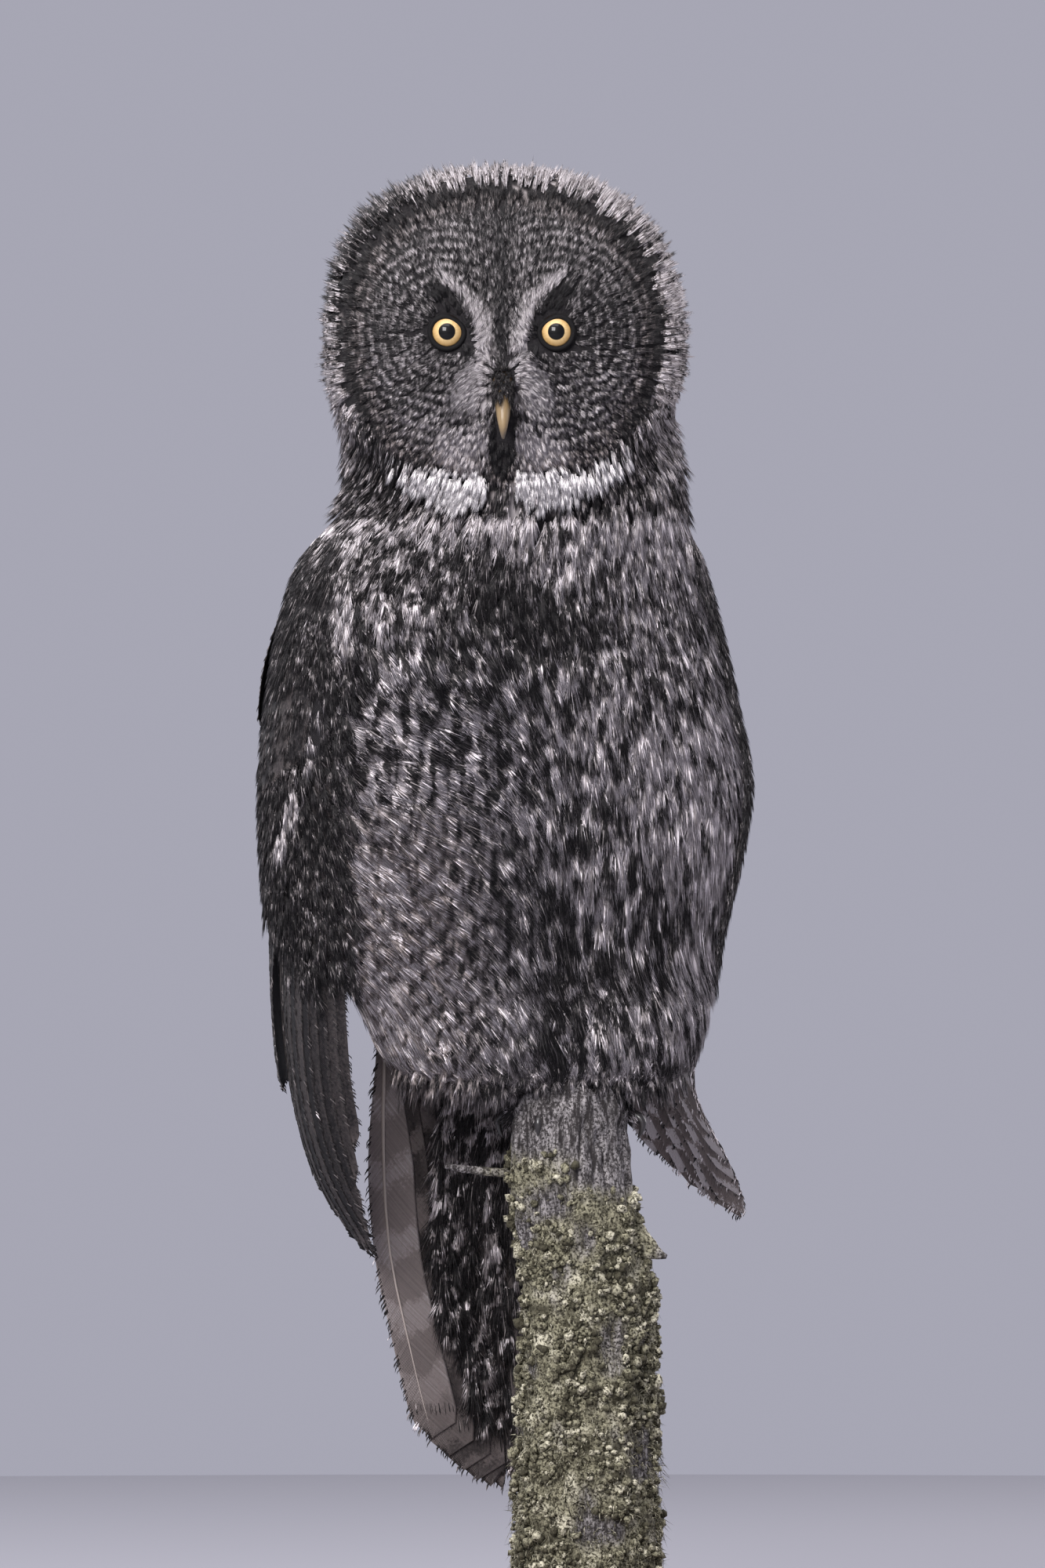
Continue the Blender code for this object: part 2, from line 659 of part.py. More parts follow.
def build_wing(label, side, finish):
    """The folded arm with its five tiers of feathers, set in the torso's side."""
    wing = wing_core(f"wing_{label}", side, finish)
    shorter = FAR_SHORTER if side < 0 else 0.0
    vanes = []
    for k, tip in enumerate(PRIMARY_TIPS):
        tip = tip + shorter * float(ramp(tip, 290.0, 210.0))
        vanes.append(wing_vane("primaries", PRIMARIES, k, tip, (395.0, 340.0, 290.0, 250.0), side))
    for k, tip in enumerate(SECONDARY_TIPS):
        vanes.append(wing_vane("secondaries", SECONDARIES, k, tip, (395.0, 340.0), side))
    for k in range(GREATER_COVERTS[0]):
        tip = GREATER_TIP[0] - GREATER_TIP[1] * k + 8.0 * math.sin(1.7 * k)
        vanes.append(wing_vane("greater", GREATER_COVERTS, k, tip, (455.0,), side))
    for k in range(MEDIAN_COVERTS[0]):
        tip = MEDIAN_TIP[0] - MEDIAN_TIP[1] * k + 6.0 * math.sin(2.3 * k + 1)
        vanes.append(wing_vane("median", MEDIAN_COVERTS, k, tip, (500.0,), side))
    for k in range(SCAPULARS[0]):
        tip = SCAPULAR_TIP[0] - SCAPULAR_TIP[1] * k + 3.0 * math.sin(2.1 * k)
        vanes.append(wing_vane("scapulars", SCAPULARS, k, tip, (535.0, 490.0), side))
    fuse(wing, vanes)
    wing.data.materials.clear()
    wing.data.materials.append(finish)
    return boolean(wing, loft("room", torso_rings(GAP)), solver="MANIFOLD")


def tail_point(u, z, lift):
    """A point of the tail's fan: u is towards the owl's right from its middle, lift towards its back."""
    heights, xs, ys = zip(*TAIL_PATH)
    cx, cy = smooth(z, heights, xs), smooth(z, heights, ys)
    c, s = math.cos(BODY_YAW), math.sin(BODY_YAW)
    deep = lift - 9.0 * (u / 55.0) ** 2
    return np.stack(np.broadcast_arrays(cx - u * c - deep * s, cy - u * s + deep * c, z), -1)


def tail_vane(number, half):
    """One tail feather: half is 1 on the owl's right and -1 on its left."""
    tip = TAIL_TIP + TAIL_ROUNDING * ((number + 0.5) / TAIL_HALF) ** 2.2 + (1.5 if half < 0 else 0.0)
    z = vane_levels(TAIL_ROOT, tip, (268.0, 205.0, 145.0))
    t = (TAIL_ROOT - z) / (TAIL_ROOT - tip)
    space = smooth(z, *zip(*TAIL_SPACING))
    shaft = (number + 0.5) * space
    share = vane_share(t, TAIL_ROOT - tip)
    inner_web = np.maximum(shaft - TAIL_INNER_WEB * share, 0.5)
    u = np.stack([inner_web, shaft, shaft + TAIL_OUTER_WEB * share], 1)
    rows = np.broadcast_to(z[:, None], u.shape)
    lift = VANE_STEP * (u / space[:, None] - number - 0.5) + np.array((0.0, -0.25, 0.0))
    top = tail_point(half * u, rows, lift + VANE_THICKNESS / 2)
    under = tail_point(half * u, rows, lift - VANE_THICKNESS / 2)
    return sheet("vane", top, under)


def build_tail(finish):
    """The tail's coverts, thick at the rump, with the twelve feathers rooted in them."""
    rings = []
    turn = np.arange(16) * 2 * math.pi / 16
    for z, wide, over, under in TAIL_COVERTS:
        u = wide * np.cos(turn)
        thick = np.where(np.sin(turn) > 0, over, under) * np.sin(turn)
        rings.append(tail_point(u, np.full(16, z), thick))
    tail = loft("tail", rings, finish)
    fuse(tail, [tail_vane(k, half) for half in (1, -1) for k in range(TAIL_HALF)])
    tail.data.materials.clear()
    tail.data.materials.append(finish)
    return boolean(tail, loft("room", torso_rings(GAP)), solver="MANIFOLD")


def perch_ring(turn, z, grow=0.0):
    """One ring of the stem: a rough round section, leaning left near the top."""
    share = (z - PERCH_FOOT) / (PERCH_TOP - PERCH_FOOT)
    radius = PERCH_FOOT_RADIUS + (PERCH_TOP_RADIUS - PERCH_FOOT_RADIUS) * share + grow
    radius = radius + 0.8 * np.sin(5 * turn + 0.011 * z) + 0.6 * np.sin(9 * turn - 0.023 * z + 1.0)
    radius = radius + 0.7 * np.sin(3 * turn + 0.045 * z)
    high = ramp(z, 180.0, 275.0)
    x, y = 0.5 - 9.5 * high + radius * np.cos(turn), -4.0 * high + radius * np.sin(turn)
    return np.stack([x, y, np.full(turn.shape, z)], -1)


def perch_rings(grow=0.0):
    """The stem up to its broken rim, whose front stands up as a shard, and the hollow inside the rim."""
    turn = np.arange(PERCH_SIDES) * 2 * math.pi / PERCH_SIDES
    shard = SHARD_HEIGHT * ramp(-np.sin(turn), 0.35, 0.8) * (0.86 + 0.14 * np.sin(7 * turn))
    rings = [perch_ring(turn, z, grow) for z in np.linspace(PERCH_FOOT, PERCH_TOP, PERCH_ROWS)]
    rings[-1][:, 2] += 0.45 * shard
    for inset, share in ((2.0 - grow, 1.0), (4.0 + grow, 1.0), (9.0 + grow, 0.0)):
        ring = perch_ring(turn, PERCH_TOP, -inset)
        ring[:, 2] += grow + share * (shard + 2.0 * np.sin(2 * turn + 0.6))
        rings.append(ring)
    return rings


def build_perch(wood):
    """The stem with the stub of a branch on its side and a broken twig."""
    perch = loft("perch", perch_rings(), wood)
    return fuse(perch, [tube("stub", STUB_PATH, STUB_RADII, 9), tube("twig", TWIG_PATH, TWIG_RADII, 6)])


def ankle(side):
    """Middle of a foot just above the stem; side is 1 for the owl's right."""
    across = side * FEET_SPREAD
    x, y = FEET_X - across * math.cos(BODY_YAW), FEET_Y - across * math.sin(BODY_YAW)
    return np.array((x, y, PERCH_TOP + ANKLE_RISE))


def toe_way(side, spread):
    """Level direction in which a toe points."""
    a = BODY_YAW - math.radians(spread * side)
    return np.array((math.sin(a), -math.cos(a), 0.0))


def foot_pieces(side, grow=0.0):
    """The feathered leg and four toes of one foot."""
    start = ankle(side)
    leg = [start + step for step in ((0.0, 0.0, -1.0), (0.0, 3.0, 12.0), (0.0, 9.0, 26.0))]
    pieces = [tube("leg", leg, np.array(LEG_RADII) + grow, 10)]
    for spread, reach in TOES:
        way = toe_way(side, spread)
        path = [start + way * reach * along + np.array((0.0, 0.0, drop)) for along, drop in TOE_BEND]
        pieces.append(tube("toe", path, np.array(TOE_RADII) + grow, 6))
    return pieces


def big_foot(side):
    """A foot grown by the gap, to cut its room."""
    leg, *toes = foot_pieces(side, GAP)
    return fuse(leg, toes)


def build_feet(torso, perch, feathers, claw):
    """Both feet with their claws, each in its own room in the stem and the belly."""
    for side in (1, -1):
        label = "right" if side > 0 else "left"
        leg, *toes = foot_pieces(side)
        leg.name = f"leg_{label}"
        fuse(leg, toes)
        leg.data.materials.clear()
        leg.data.materials.append(feathers)
        for number, (spread, reach) in enumerate(TOES):
            way = toe_way(side, spread)
            path = [ankle(side) + way * (reach + r) + np.array((0.0, 0.0, z)) for r, z in CLAW_CURVE]
            made = tube(f"claw_{label}_{number + 1}", path, CLAW_RADII, 6, claw)
            boolean(leg, tube("room", path, np.array(CLAW_RADII) + GAP, 6))
            boolean(perch, tube("room", path, np.array(CLAW_RADII) + GAP, 6))
        boolean(perch, big_foot(side), solver="MANIFOLD")
        boolean(torso, big_foot(side))
    boolean(torso, loft("room", perch_rings(2 * GAP)))


def disc_rings(radius, low, high, bevel, sides):
    """Rings of a short cylinder with bevelled edges."""
    turn = np.arange(sides) * 2 * math.pi / sides
    rings = []
    inner = radius - bevel
    for r, z in ((inner, low), (radius, low + bevel), (radius, high - bevel), (inner, high)):
        rings.append(np.stack([r * np.cos(turn), r * np.sin(turn), np.full(sides, z)], -1))
    return rings


def build_stand(wood, steel):
    loft("stand_base", disc_rings(BASE_RADIUS, 0.0, BASE_THICKNESS, BASE_BEVEL, 40), wood)
    loft("stand_rod", disc_rings(ROD_RADIUS, BASE_THICKNESS + GAP, PERCH_FOOT - GAP, 0.5, 16), steel)


def main():
    for old in list(bpy.data.objects):
        bpy.data.objects.remove(old)
    feathers = material("body_feathers", (0.16, 0.15, 0.16), 0.9)
    iris = material("iris", (0.85, 0.62, 0.2), 0.15)
    skin = material("lid_skin", (0.02, 0.02, 0.025), 0.6)
    horn = material("bill_horn", (0.62, 0.47, 0.2), 0.4)
    flight = material("flight_feathers", (0.13, 0.12, 0.13), 0.8)
    claw = material("claw", (0.03, 0.03, 0.035), 0.35)
    bark = material("lichened_bark", (0.33, 0.32, 0.2), 0.95)
    board = material("stand_board", (0.05, 0.05, 0.055), 0.5)
    steel = material("stand_steel", (0.3, 0.3, 0.32), 0.35, 1.0)
    head, disc = build_head(feathers)
    build_eyes(disc, iris, skin)
    build_bill(disc, horn)
    torso = build_torso(feathers)
    build_neck(feathers)
    for label, side in (("right", 1), ("left", -1)):
        build_wing(label, side, flight)
    build_tail(flight)
    perch = build_perch(bark)
    build_feet(torso, perch, feathers, claw)
    build_stand(board, steel)


main()
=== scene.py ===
# %% [markdown]
# # A great grey owl in feathers
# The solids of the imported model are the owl's true outline: how far its coat and feathers reach. This
# script dresses them. A skin lies a few millimetres inside the solids, and thousands of small feathers,
# each a fan of thin barbs, stand on it. The wings and the tail get finer vanes, and the dead stem its bark
# and lichen. Everything is worked out from named sizes in millimetres, so a change of size carries through.

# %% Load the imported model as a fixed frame
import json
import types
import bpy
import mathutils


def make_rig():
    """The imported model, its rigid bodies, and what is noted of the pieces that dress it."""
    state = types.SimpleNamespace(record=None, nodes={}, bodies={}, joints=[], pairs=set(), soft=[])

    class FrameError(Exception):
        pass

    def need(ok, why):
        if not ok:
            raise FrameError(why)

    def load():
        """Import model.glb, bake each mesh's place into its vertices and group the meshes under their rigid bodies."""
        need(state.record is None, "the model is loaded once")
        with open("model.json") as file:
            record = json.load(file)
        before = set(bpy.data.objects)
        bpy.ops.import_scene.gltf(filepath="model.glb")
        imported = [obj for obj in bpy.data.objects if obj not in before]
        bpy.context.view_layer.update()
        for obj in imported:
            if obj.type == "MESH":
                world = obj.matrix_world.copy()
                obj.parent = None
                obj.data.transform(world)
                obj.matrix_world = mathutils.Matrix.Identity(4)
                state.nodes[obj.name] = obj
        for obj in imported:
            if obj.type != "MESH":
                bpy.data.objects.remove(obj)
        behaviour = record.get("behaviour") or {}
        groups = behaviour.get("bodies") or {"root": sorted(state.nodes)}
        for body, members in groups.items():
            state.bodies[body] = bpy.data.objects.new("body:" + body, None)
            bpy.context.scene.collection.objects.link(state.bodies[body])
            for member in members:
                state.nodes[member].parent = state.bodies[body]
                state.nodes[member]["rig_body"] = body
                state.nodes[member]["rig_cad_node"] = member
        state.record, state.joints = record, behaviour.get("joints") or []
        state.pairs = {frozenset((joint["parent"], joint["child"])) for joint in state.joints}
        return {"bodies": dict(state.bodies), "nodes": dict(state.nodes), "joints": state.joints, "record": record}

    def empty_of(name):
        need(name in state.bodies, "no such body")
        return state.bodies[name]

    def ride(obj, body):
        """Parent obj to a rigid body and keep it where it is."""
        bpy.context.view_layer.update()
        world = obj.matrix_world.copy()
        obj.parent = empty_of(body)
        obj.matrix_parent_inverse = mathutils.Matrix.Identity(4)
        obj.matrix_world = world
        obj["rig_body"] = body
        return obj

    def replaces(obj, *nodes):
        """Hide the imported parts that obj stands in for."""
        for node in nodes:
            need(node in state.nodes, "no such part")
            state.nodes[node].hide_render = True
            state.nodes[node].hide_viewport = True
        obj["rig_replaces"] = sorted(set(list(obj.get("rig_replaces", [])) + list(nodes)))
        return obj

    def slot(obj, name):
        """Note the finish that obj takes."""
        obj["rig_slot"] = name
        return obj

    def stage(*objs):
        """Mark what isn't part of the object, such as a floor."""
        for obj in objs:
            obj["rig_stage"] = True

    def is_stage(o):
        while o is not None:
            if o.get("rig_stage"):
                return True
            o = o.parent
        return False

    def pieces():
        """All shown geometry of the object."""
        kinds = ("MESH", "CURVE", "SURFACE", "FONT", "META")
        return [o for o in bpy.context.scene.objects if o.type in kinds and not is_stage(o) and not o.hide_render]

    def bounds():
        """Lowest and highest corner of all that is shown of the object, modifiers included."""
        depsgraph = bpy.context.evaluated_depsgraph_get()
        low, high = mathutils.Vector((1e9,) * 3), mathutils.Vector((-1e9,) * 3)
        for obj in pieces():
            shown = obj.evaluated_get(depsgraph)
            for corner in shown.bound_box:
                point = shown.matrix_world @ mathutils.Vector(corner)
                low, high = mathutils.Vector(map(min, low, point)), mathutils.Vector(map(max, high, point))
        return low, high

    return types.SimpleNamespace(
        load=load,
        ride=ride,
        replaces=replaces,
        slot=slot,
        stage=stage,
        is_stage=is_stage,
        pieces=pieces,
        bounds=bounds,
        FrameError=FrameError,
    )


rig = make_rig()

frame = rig.load()

import json
import math

import bpy
import numpy as np

cad_box = [list(corner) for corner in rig.bounds()]
print("CAD box", [[round(v, 4) for v in corner] for corner in cad_box])

# %% [markdown]
# ## Sizes
# A museum model is built over a carved body, and its maker notes that body's girth at many heights. These
# are the same named sizes that the solids were made from, so skin and feathers land on them without fitting.
# X runs to the viewer's right, Y away from the viewer and Z up, and the face looks along minus Y.

# %% Sizes of the head, in millimetres
MM = 0.001
HEAD_X, HEAD_Z = -42.5, 690.0
HEAD_HALF_WIDTH, HEAD_RISE, HEAD_DROP = 96.0, 94.0, 88.0
HEAD_WIDEST_Y, HEAD_BACK_Y = 12.0, 104.0
OUTLINE_POWER = 2.2
DISC_X, DISC_Z = -44.5, 694.5
DISC_HALF_WIDTH, DISC_RISE, DISC_DROP = 82.0, 76.0, 77.0
FACE_FRONT_Y = -47.0
EYE_APART, EYE_Y, EYE_Z, EYE_RADIUS = 57.2, -30.5, 696.0, 10.5
BOWL_DEPTH, BOWL_REACH = 8.0, 17.0
BILL_X = DISC_X + 0.8

# %% Sizes of the body: height, centre x, half span, centre y, front depth, back depth
BODY_YAW = math.radians(28.0)
SECTIONS = (
    (650.0, -42.0, 90.0, 30.0, 44.0, 66.0),
    (624.0, -37.5, 90.5, 32.0, 62.0, 68.0),
    (607.0, -38.0, 93.0, 34.0, 68.0, 70.0),
    (591.0, -42.4, 98.5, 36.0, 71.0, 73.0),
    (575.0, -44.5, 106.0, 38.0, 74.0, 76.0),
    (541.0, -44.9, 115.5, 41.0, 80.0, 82.0),
    (500.0, -43.7, 123.5, 44.0, 85.0, 88.0),
    (459.0, -42.0, 128.0, 47.0, 88.0, 90.0),
    (418.0, -44.3, 125.5, 49.0, 89.0, 91.0),
    (377.0, -47.8, 119.5, 52.0, 88.0, 89.0),
    (336.0, -48.6, 114.5, 57.0, 82.0, 85.0),
    (294.0, -50.0, 105.5, 68.0, 70.0, 78.0),
    (253.0, -50.0, 93.0, 80.0, 66.0, 70.0),
    (208.0, -50.0, 68.0, 92.0, 60.0, 62.0),
)
BELLY = (
    (377.0, -42.0, 116.0, 51.0, 88.0, 84.0),
    (336.0, -31.0, 97.0, 43.0, 82.0, 76.0),
    (318.0, -27.0, 88.0, 35.0, 75.0, 72.0),
    (304.0, -22.0, 76.0, 27.0, 66.0, 66.0),
    (296.0, -18.0, 62.0, 21.0, 55.0, 56.0),
)
BELLY_FLOOR = 293.0
WING_TOP, WING_DEPTH, BACK_SET_IN = 588.0, 12.5, 2.5
WING_FRONT, WING_BACK = math.radians(62.0), math.radians(160.0)

# %% [markdown]
# ## Small tools
# Four curves do most of the shaping: a smooth line through a few heights, a soft step, a bell and a cloud
# of value noise. They take whole arrays, so a shape of a hundred thousand points is one expression.

# %% Curves and noise


def smooth(at, knots, values):
    """A cubic through values at knots, whose slope at each knot is that of its neighbours."""
    knots, values = np.asarray(knots, float), np.asarray(values, float)
    if knots[0] > knots[-1]:
        knots, values = knots[::-1], values[::-1]
    slopes = np.gradient(values, knots)
    at = np.clip(at, knots[0], knots[-1])
    i = np.clip(np.searchsorted(knots, at) - 1, 0, len(knots) - 2)
    span = knots[i + 1] - knots[i]
    t = (at - knots[i]) / span
    rising = values[i] * (1 + 2 * t) * (1 - t) ** 2 + slopes[i] * span * t * (1 - t) ** 2
    return rising + values[i + 1] * t**2 * (3 - 2 * t) + slopes[i + 1] * span * t**2 * (t - 1)


def ramp(x, low, high):
    """0 below low, 1 above high, with t * t * (3 - 2 t) between; low may be above high."""
    t = np.clip((np.asarray(x, float) - low) / (high - low), 0, 1)
    return t * t * (3 - 2 * t)


def bell(x, centre, reach):
    """exp(-((x - centre) / reach)^2 / 2)."""
    return np.exp(-(((x - centre) / reach) ** 2) / 2)


def unit(v):
    """Each vector divided by its length."""
    return v / np.maximum(np.linalg.norm(v, axis=-1, keepdims=True), 1e-9)


def lattice(i, seed):
    """A number from 0 to 1 for each whole-number point, from a mix of its three coordinates."""
    h = (i[..., 0] * 73856093) ^ (i[..., 1] * 19349663) ^ (i[..., 2] * 83492791) ^ (seed * 2654435)
    h = (h ^ (h >> 13)) * 1274126177
    return ((h ^ (h >> 16)) & 0xFFFF) / 65535.0


def noise(p, pitch, seed=0):
    """Value noise from 0 to 1: lattice values at the corners of a cell of that pitch, softly mixed."""
    q = np.asarray(p, float) / pitch
    cell = np.floor(q).astype(np.int64)
    f = q - cell
    f = f * f * (3 - 2 * f)
    total = 0.0
    for corner in ((0, 0, 0), (1, 0, 0), (0, 1, 0), (1, 1, 0), (0, 0, 1), (1, 0, 1), (0, 1, 1), (1, 1, 1)):
        weight = np.prod([f[..., k] if corner[k] else 1 - f[..., k] for k in range(3)], axis=0)
        total = total + weight * lattice(cell + np.array(corner), seed)
    return total


# %% Put arrays into a mesh


def piece(name, points, polygons, finish, attributes=None, uv=None, smooth_shaded=True):
    """A mesh object from an array of points in millimetres and a list of polygon arrays, (n, 3) or (n, 4)."""
    mesh = bpy.data.meshes.new(name)
    points = np.asarray(points, float).reshape(-1, 3)
    corners = np.concatenate([np.asarray(p).ravel() for p in polygons]).astype(np.int32)
    sizes = np.concatenate([np.full(len(p), p.shape[1]) for p in polygons])
    mesh.vertices.add(len(points))
    mesh.loops.add(len(corners))
    mesh.polygons.add(len(sizes))
    mesh.vertices.foreach_set("co", (points * MM).astype(np.float32).ravel())
    mesh.loops.foreach_set("vertex_index", corners)
    mesh.polygons.foreach_set("loop_start", (np.cumsum(sizes) - sizes).astype(np.int32))
    mesh.polygons.foreach_set("use_smooth", np.full(len(sizes), smooth_shaded))
    for label, values in (attributes or {}).items():
        values = np.asarray(values, np.float32)
        kind = "FLOAT" if values.ndim == 1 else "FLOAT_VECTOR"
        field = "value" if values.ndim == 1 else "vector"
        mesh.attributes.new(label, kind, "POINT").data.foreach_set(field, values.ravel())
    if uv is not None:
        layer = mesh.uv_layers.new(name="OFBake")
        spots = uv if len(uv) == len(corners) else uv[corners]
        layer.data.foreach_set("uv", np.asarray(spots, np.float32).ravel())
    mesh.update(calc_edges=True)
    mesh.validate()
    mesh.materials.append(finish)
    made = bpy.data.objects.new(name, mesh)
    bpy.context.scene.collection.objects.link(made)
    return made


def grid_faces(rows, columns, closed=False):
    """Quads between the rows of a grid of points, facing along (row step) x (column step)."""
    r, c = np.meshgrid(np.arange(rows - 1), np.arange(columns if closed else columns - 1), indexing="ij")
    a, b = r * columns + c, r * columns + (c + 1) % columns
    return np.stack([a, a + columns, b + columns, b], -1).reshape(-1, 4)


def triangles(made):
    """How many triangles a piece has."""
    return len(made.data.loops) - 2 * len(made.data.polygons)


# %% [markdown]
# ## Camera, light and floor
# The photo was taken from far away with a long lens, level with the middle of the bird, so the camera stands
# nine metres off. The light is the soft grey of a winter wood: a broad sheet above, a weaker one from the
# front, and two from behind that edge the fluffy outline. The floor is plain and pale.

# %% The photo's framing
PIXEL = 0.412
PHOTO_SIZE = (1333, 2000)
PIXEL_AT_X0, PIXEL_AT_STEM_FOOT = 748.0, 2008.0
STEM_FOOT = 44.0
CAMERA_AWAY = 9000.0
SENSOR = 36.0


def photo_x(px):
    """World x of a photo column, in the plane of the owl."""
    return (px - PIXEL_AT_X0) * PIXEL


def photo_z(py):
    """World z of a photo row."""
    return (PIXEL_AT_STEM_FOOT - py) * PIXEL + STEM_FOOT


scene = bpy.context.scene
camera = bpy.data.objects.new("camera", bpy.data.cameras.new("camera"))
scene.collection.objects.link(camera)
camera.data.sensor_width = SENSOR
camera.data.lens = SENSOR * CAMERA_AWAY / (PHOTO_SIZE[1] * PIXEL)
camera.location = (photo_x(PHOTO_SIZE[0] / 2) * MM, -CAMERA_AWAY * MM, photo_z(PHOTO_SIZE[1] / 2) * MM)
camera.rotation_euler = (math.pi / 2, 0.0, 0.0)
camera.data.clip_end = 200.0
scene.camera = camera
scene.view_settings.view_transform = "Standard"
print("camera at", [round(v, 3) for v in camera.location], "lens", round(camera.data.lens, 1), "mm")

# %% Soft studio light and the floor
SURROUND = (0.385, 0.383, 0.455)
LIGHTS = (
    ("top", (-0.3, -0.9, 3.2), (2.6, 2.6), 80.0, (1.0, 0.99, 1.0)),
    ("front", (-1.3, -3.2, 2.0), (1.6, 1.6), 155.0, (1.0, 0.98, 0.98)),
    ("left_edge", (-2.2, 1.3, 1.5), (1.2, 2.2), 36.0, (0.97, 0.97, 1.0)),
    ("right_edge", (2.1, 1.4, 1.6), (1.2, 2.2), 46.0, (1.0, 0.96, 0.97)),
)
MIDDLE = (-0.04, 0.03, 0.45)


def studio_light(name, place, size, power, colour):
    """A rectangle of light that faces the owl's middle."""
    light = bpy.data.lights.new(name, "AREA")
    light.shape = "RECTANGLE"
    light.size, light.size_y = size
    light.energy, light.color = power, colour
    lamp = bpy.data.objects.new(name, light)
    scene.collection.objects.link(lamp)
    lamp.location = place
    toward = np.array(MIDDLE) - np.array(place)
    lamp.rotation_euler = (math.atan2(math.hypot(*toward[:2]), -toward[2]), 0.0,
                           math.atan2(toward[1], toward[0]) - math.pi / 2)


for row in LIGHTS:
    studio_light(*row)
world = bpy.data.worlds.new("surround")
world.use_nodes = True
world.node_tree.nodes["Background"].inputs["Color"].default_value = (*SURROUND, 1.0)
world.node_tree.nodes["Background"].inputs["Strength"].default_value = 1.0
scene.world = world

floor_finish = bpy.data.materials.new("floor")
floor_finish.use_nodes = True
floor_finish.node_tree.nodes["Principled BSDF"].inputs["Base Color"].default_value = (0.27, 0.268, 0.30, 1.0)
floor_finish.node_tree.nodes["Principled BSDF"].inputs["Roughness"].default_value = 0.9
FLOOR_RADIUS = 2400.0
turn = np.arange(96) * 2 * math.pi / 96
ring = np.stack([FLOOR_RADIUS * np.cos(turn), FLOOR_RADIUS * np.sin(turn), 0 * turn - 0.2], -1)
floor = piece("floor", ring, [np.arange(96)[None]], floor_finish)
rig.stage(floor)
print("floor", FLOOR_RADIUS, "mm,", len(LIGHTS), "lights")

# %% [markdown]
# ## Finishes
# Every finish is a small network of nodes. Writing them by hand repeats the same three lines many times, so a
# little helper adds a node and wires its inputs in one call. Effects that several finishes share, such as the
# fine grain of barbs, are node groups: they are built once and placed in each material with its own values.

# %% A helper that wires nodes


class Network:
    """Adds nodes to a tree; an input is a number, a colour or another node's output."""

    def __init__(self, tree):
        self.tree = tree

    def node(self, kind, settings=None, **inputs):
        made = self.tree.nodes.new(kind)
        for key, value in (settings or {}).items():
            setattr(made, key, value)
        for key, value in inputs.items():
            slot = made.inputs[int(key[1:])] if key[0] == "i" and key[1:].isdigit() else made.inputs[key]
            if isinstance(value, bpy.types.NodeSocket):
                self.tree.links.new(value, slot)
            else:
                slot.default_value = value
        return made

    def sum(self, operation, a, b=0.0, c=0.0, clamp=False):
        """One arithmetic step."""
        settings = {"operation": operation, "use_clamp": clamp}
        return self.node("ShaderNodeMath", settings, i0=a, i1=b, i2=c).outputs[0]

    def times(self, a, b, clamp=False):
        return self.sum("MULTIPLY", a, b, clamp=clamp)

    def plus(self, a, b, clamp=False):
        return self.sum("ADD", a, b, clamp=clamp)

    def less(self, a, b, clamp=False):
        return self.sum("SUBTRACT", a, b, clamp=clamp)

    def fused(self, a, b, c, clamp=False):
        """a * b + c."""
        return self.sum("MULTIPLY_ADD", a, b, c, clamp=clamp)

    def step(self, value, low, high, to_low=0.0, to_high=1.0):
        """A soft step from to_low to to_high while value goes from low to high."""
        made = self.node("ShaderNodeMapRange", {"interpolation_type": "SMOOTHSTEP"}, i0=value)
        for k, number in enumerate((low, high, to_low, to_high)):
            if isinstance(number, bpy.types.NodeSocket):
                self.tree.links.new(number, made.inputs[k + 1])
            else:
                made.inputs[k + 1].default_value = number
        return made.outputs[0]

    def blend(self, share, a, b, how="MIX", clamp=True):
        """A colour between a and b, or beyond b where the share may pass 1."""
        made = self.tree.nodes.new("ShaderNodeMix")
        made.data_type, made.blend_type, made.clamp_factor = "RGBA", how, clamp
        for slot, value in ((made.inputs[0], share), (made.inputs[6], a), (made.inputs[7], b)):
            if isinstance(value, bpy.types.NodeSocket):
                self.tree.links.new(value, slot)
            elif isinstance(value, tuple) and len(value) == 3:
                slot.default_value = (*value, 1.0)
            else:
                slot.default_value = value
        return made.outputs[2]

    def cloud(self, place, scale, detail=2.0, rough=0.5, kind="Fac"):
        """Noise at a place; scale is in cells a metre."""
        made = self.node("ShaderNodeTexNoise", None, Vector=place, Scale=scale, Detail=detail,
                         Roughness=rough)
        return made.outputs[kind]

    def stretched(self, place, factors):
        """A place with its axes scaled."""
        made = self.node("ShaderNodeMapping", None, Vector=place)
        made.inputs["Scale"].default_value = factors
        return made.outputs[0]

    def parts(self, vector):
        """The three numbers of a vector."""
        return self.node("ShaderNodeSeparateXYZ", None, i0=vector).outputs[:3]

    def attribute(self, name, kind="Vector"):
        """A piece's own attribute."""
        return self.node("ShaderNodeAttribute", {"attribute_name": name}).outputs[kind]

    def place(self):
        """Object coordinates, which are world metres because every piece sits at the origin."""
        return self.node("ShaderNodeTexCoord").outputs["Object"]


def group(name, inputs, outputs):
    """An empty node group with named inputs and outputs, each (name, kind, value)."""
    tree = bpy.data.node_groups.new(name, "ShaderNodeTree")
    for label, kind, value in inputs:
        socket = tree.interface.new_socket(label, in_out="INPUT", socket_type=kind)
        if value is not None:
            socket.default_value = value
    for label, kind in outputs:
        tree.interface.new_socket(label, in_out="OUTPUT", socket_type=kind)
    net = Network(tree)
    return tree, net, net.node("NodeGroupInput").outputs, net.node("NodeGroupOutput").inputs


def placed(net, tree, **inputs):
    """A node group set into a network, with its inputs given by name (underscores stand for spaces)."""
    made = net.tree.nodes.new("ShaderNodeGroup")
    made.node_tree = tree
    for key, value in inputs.items():
        slot = made.inputs[key.replace("_", " ")]
        if isinstance(value, bpy.types.NodeSocket):
            net.tree.links.new(value, slot)
        else:
            slot.default_value = value
    return made.outputs


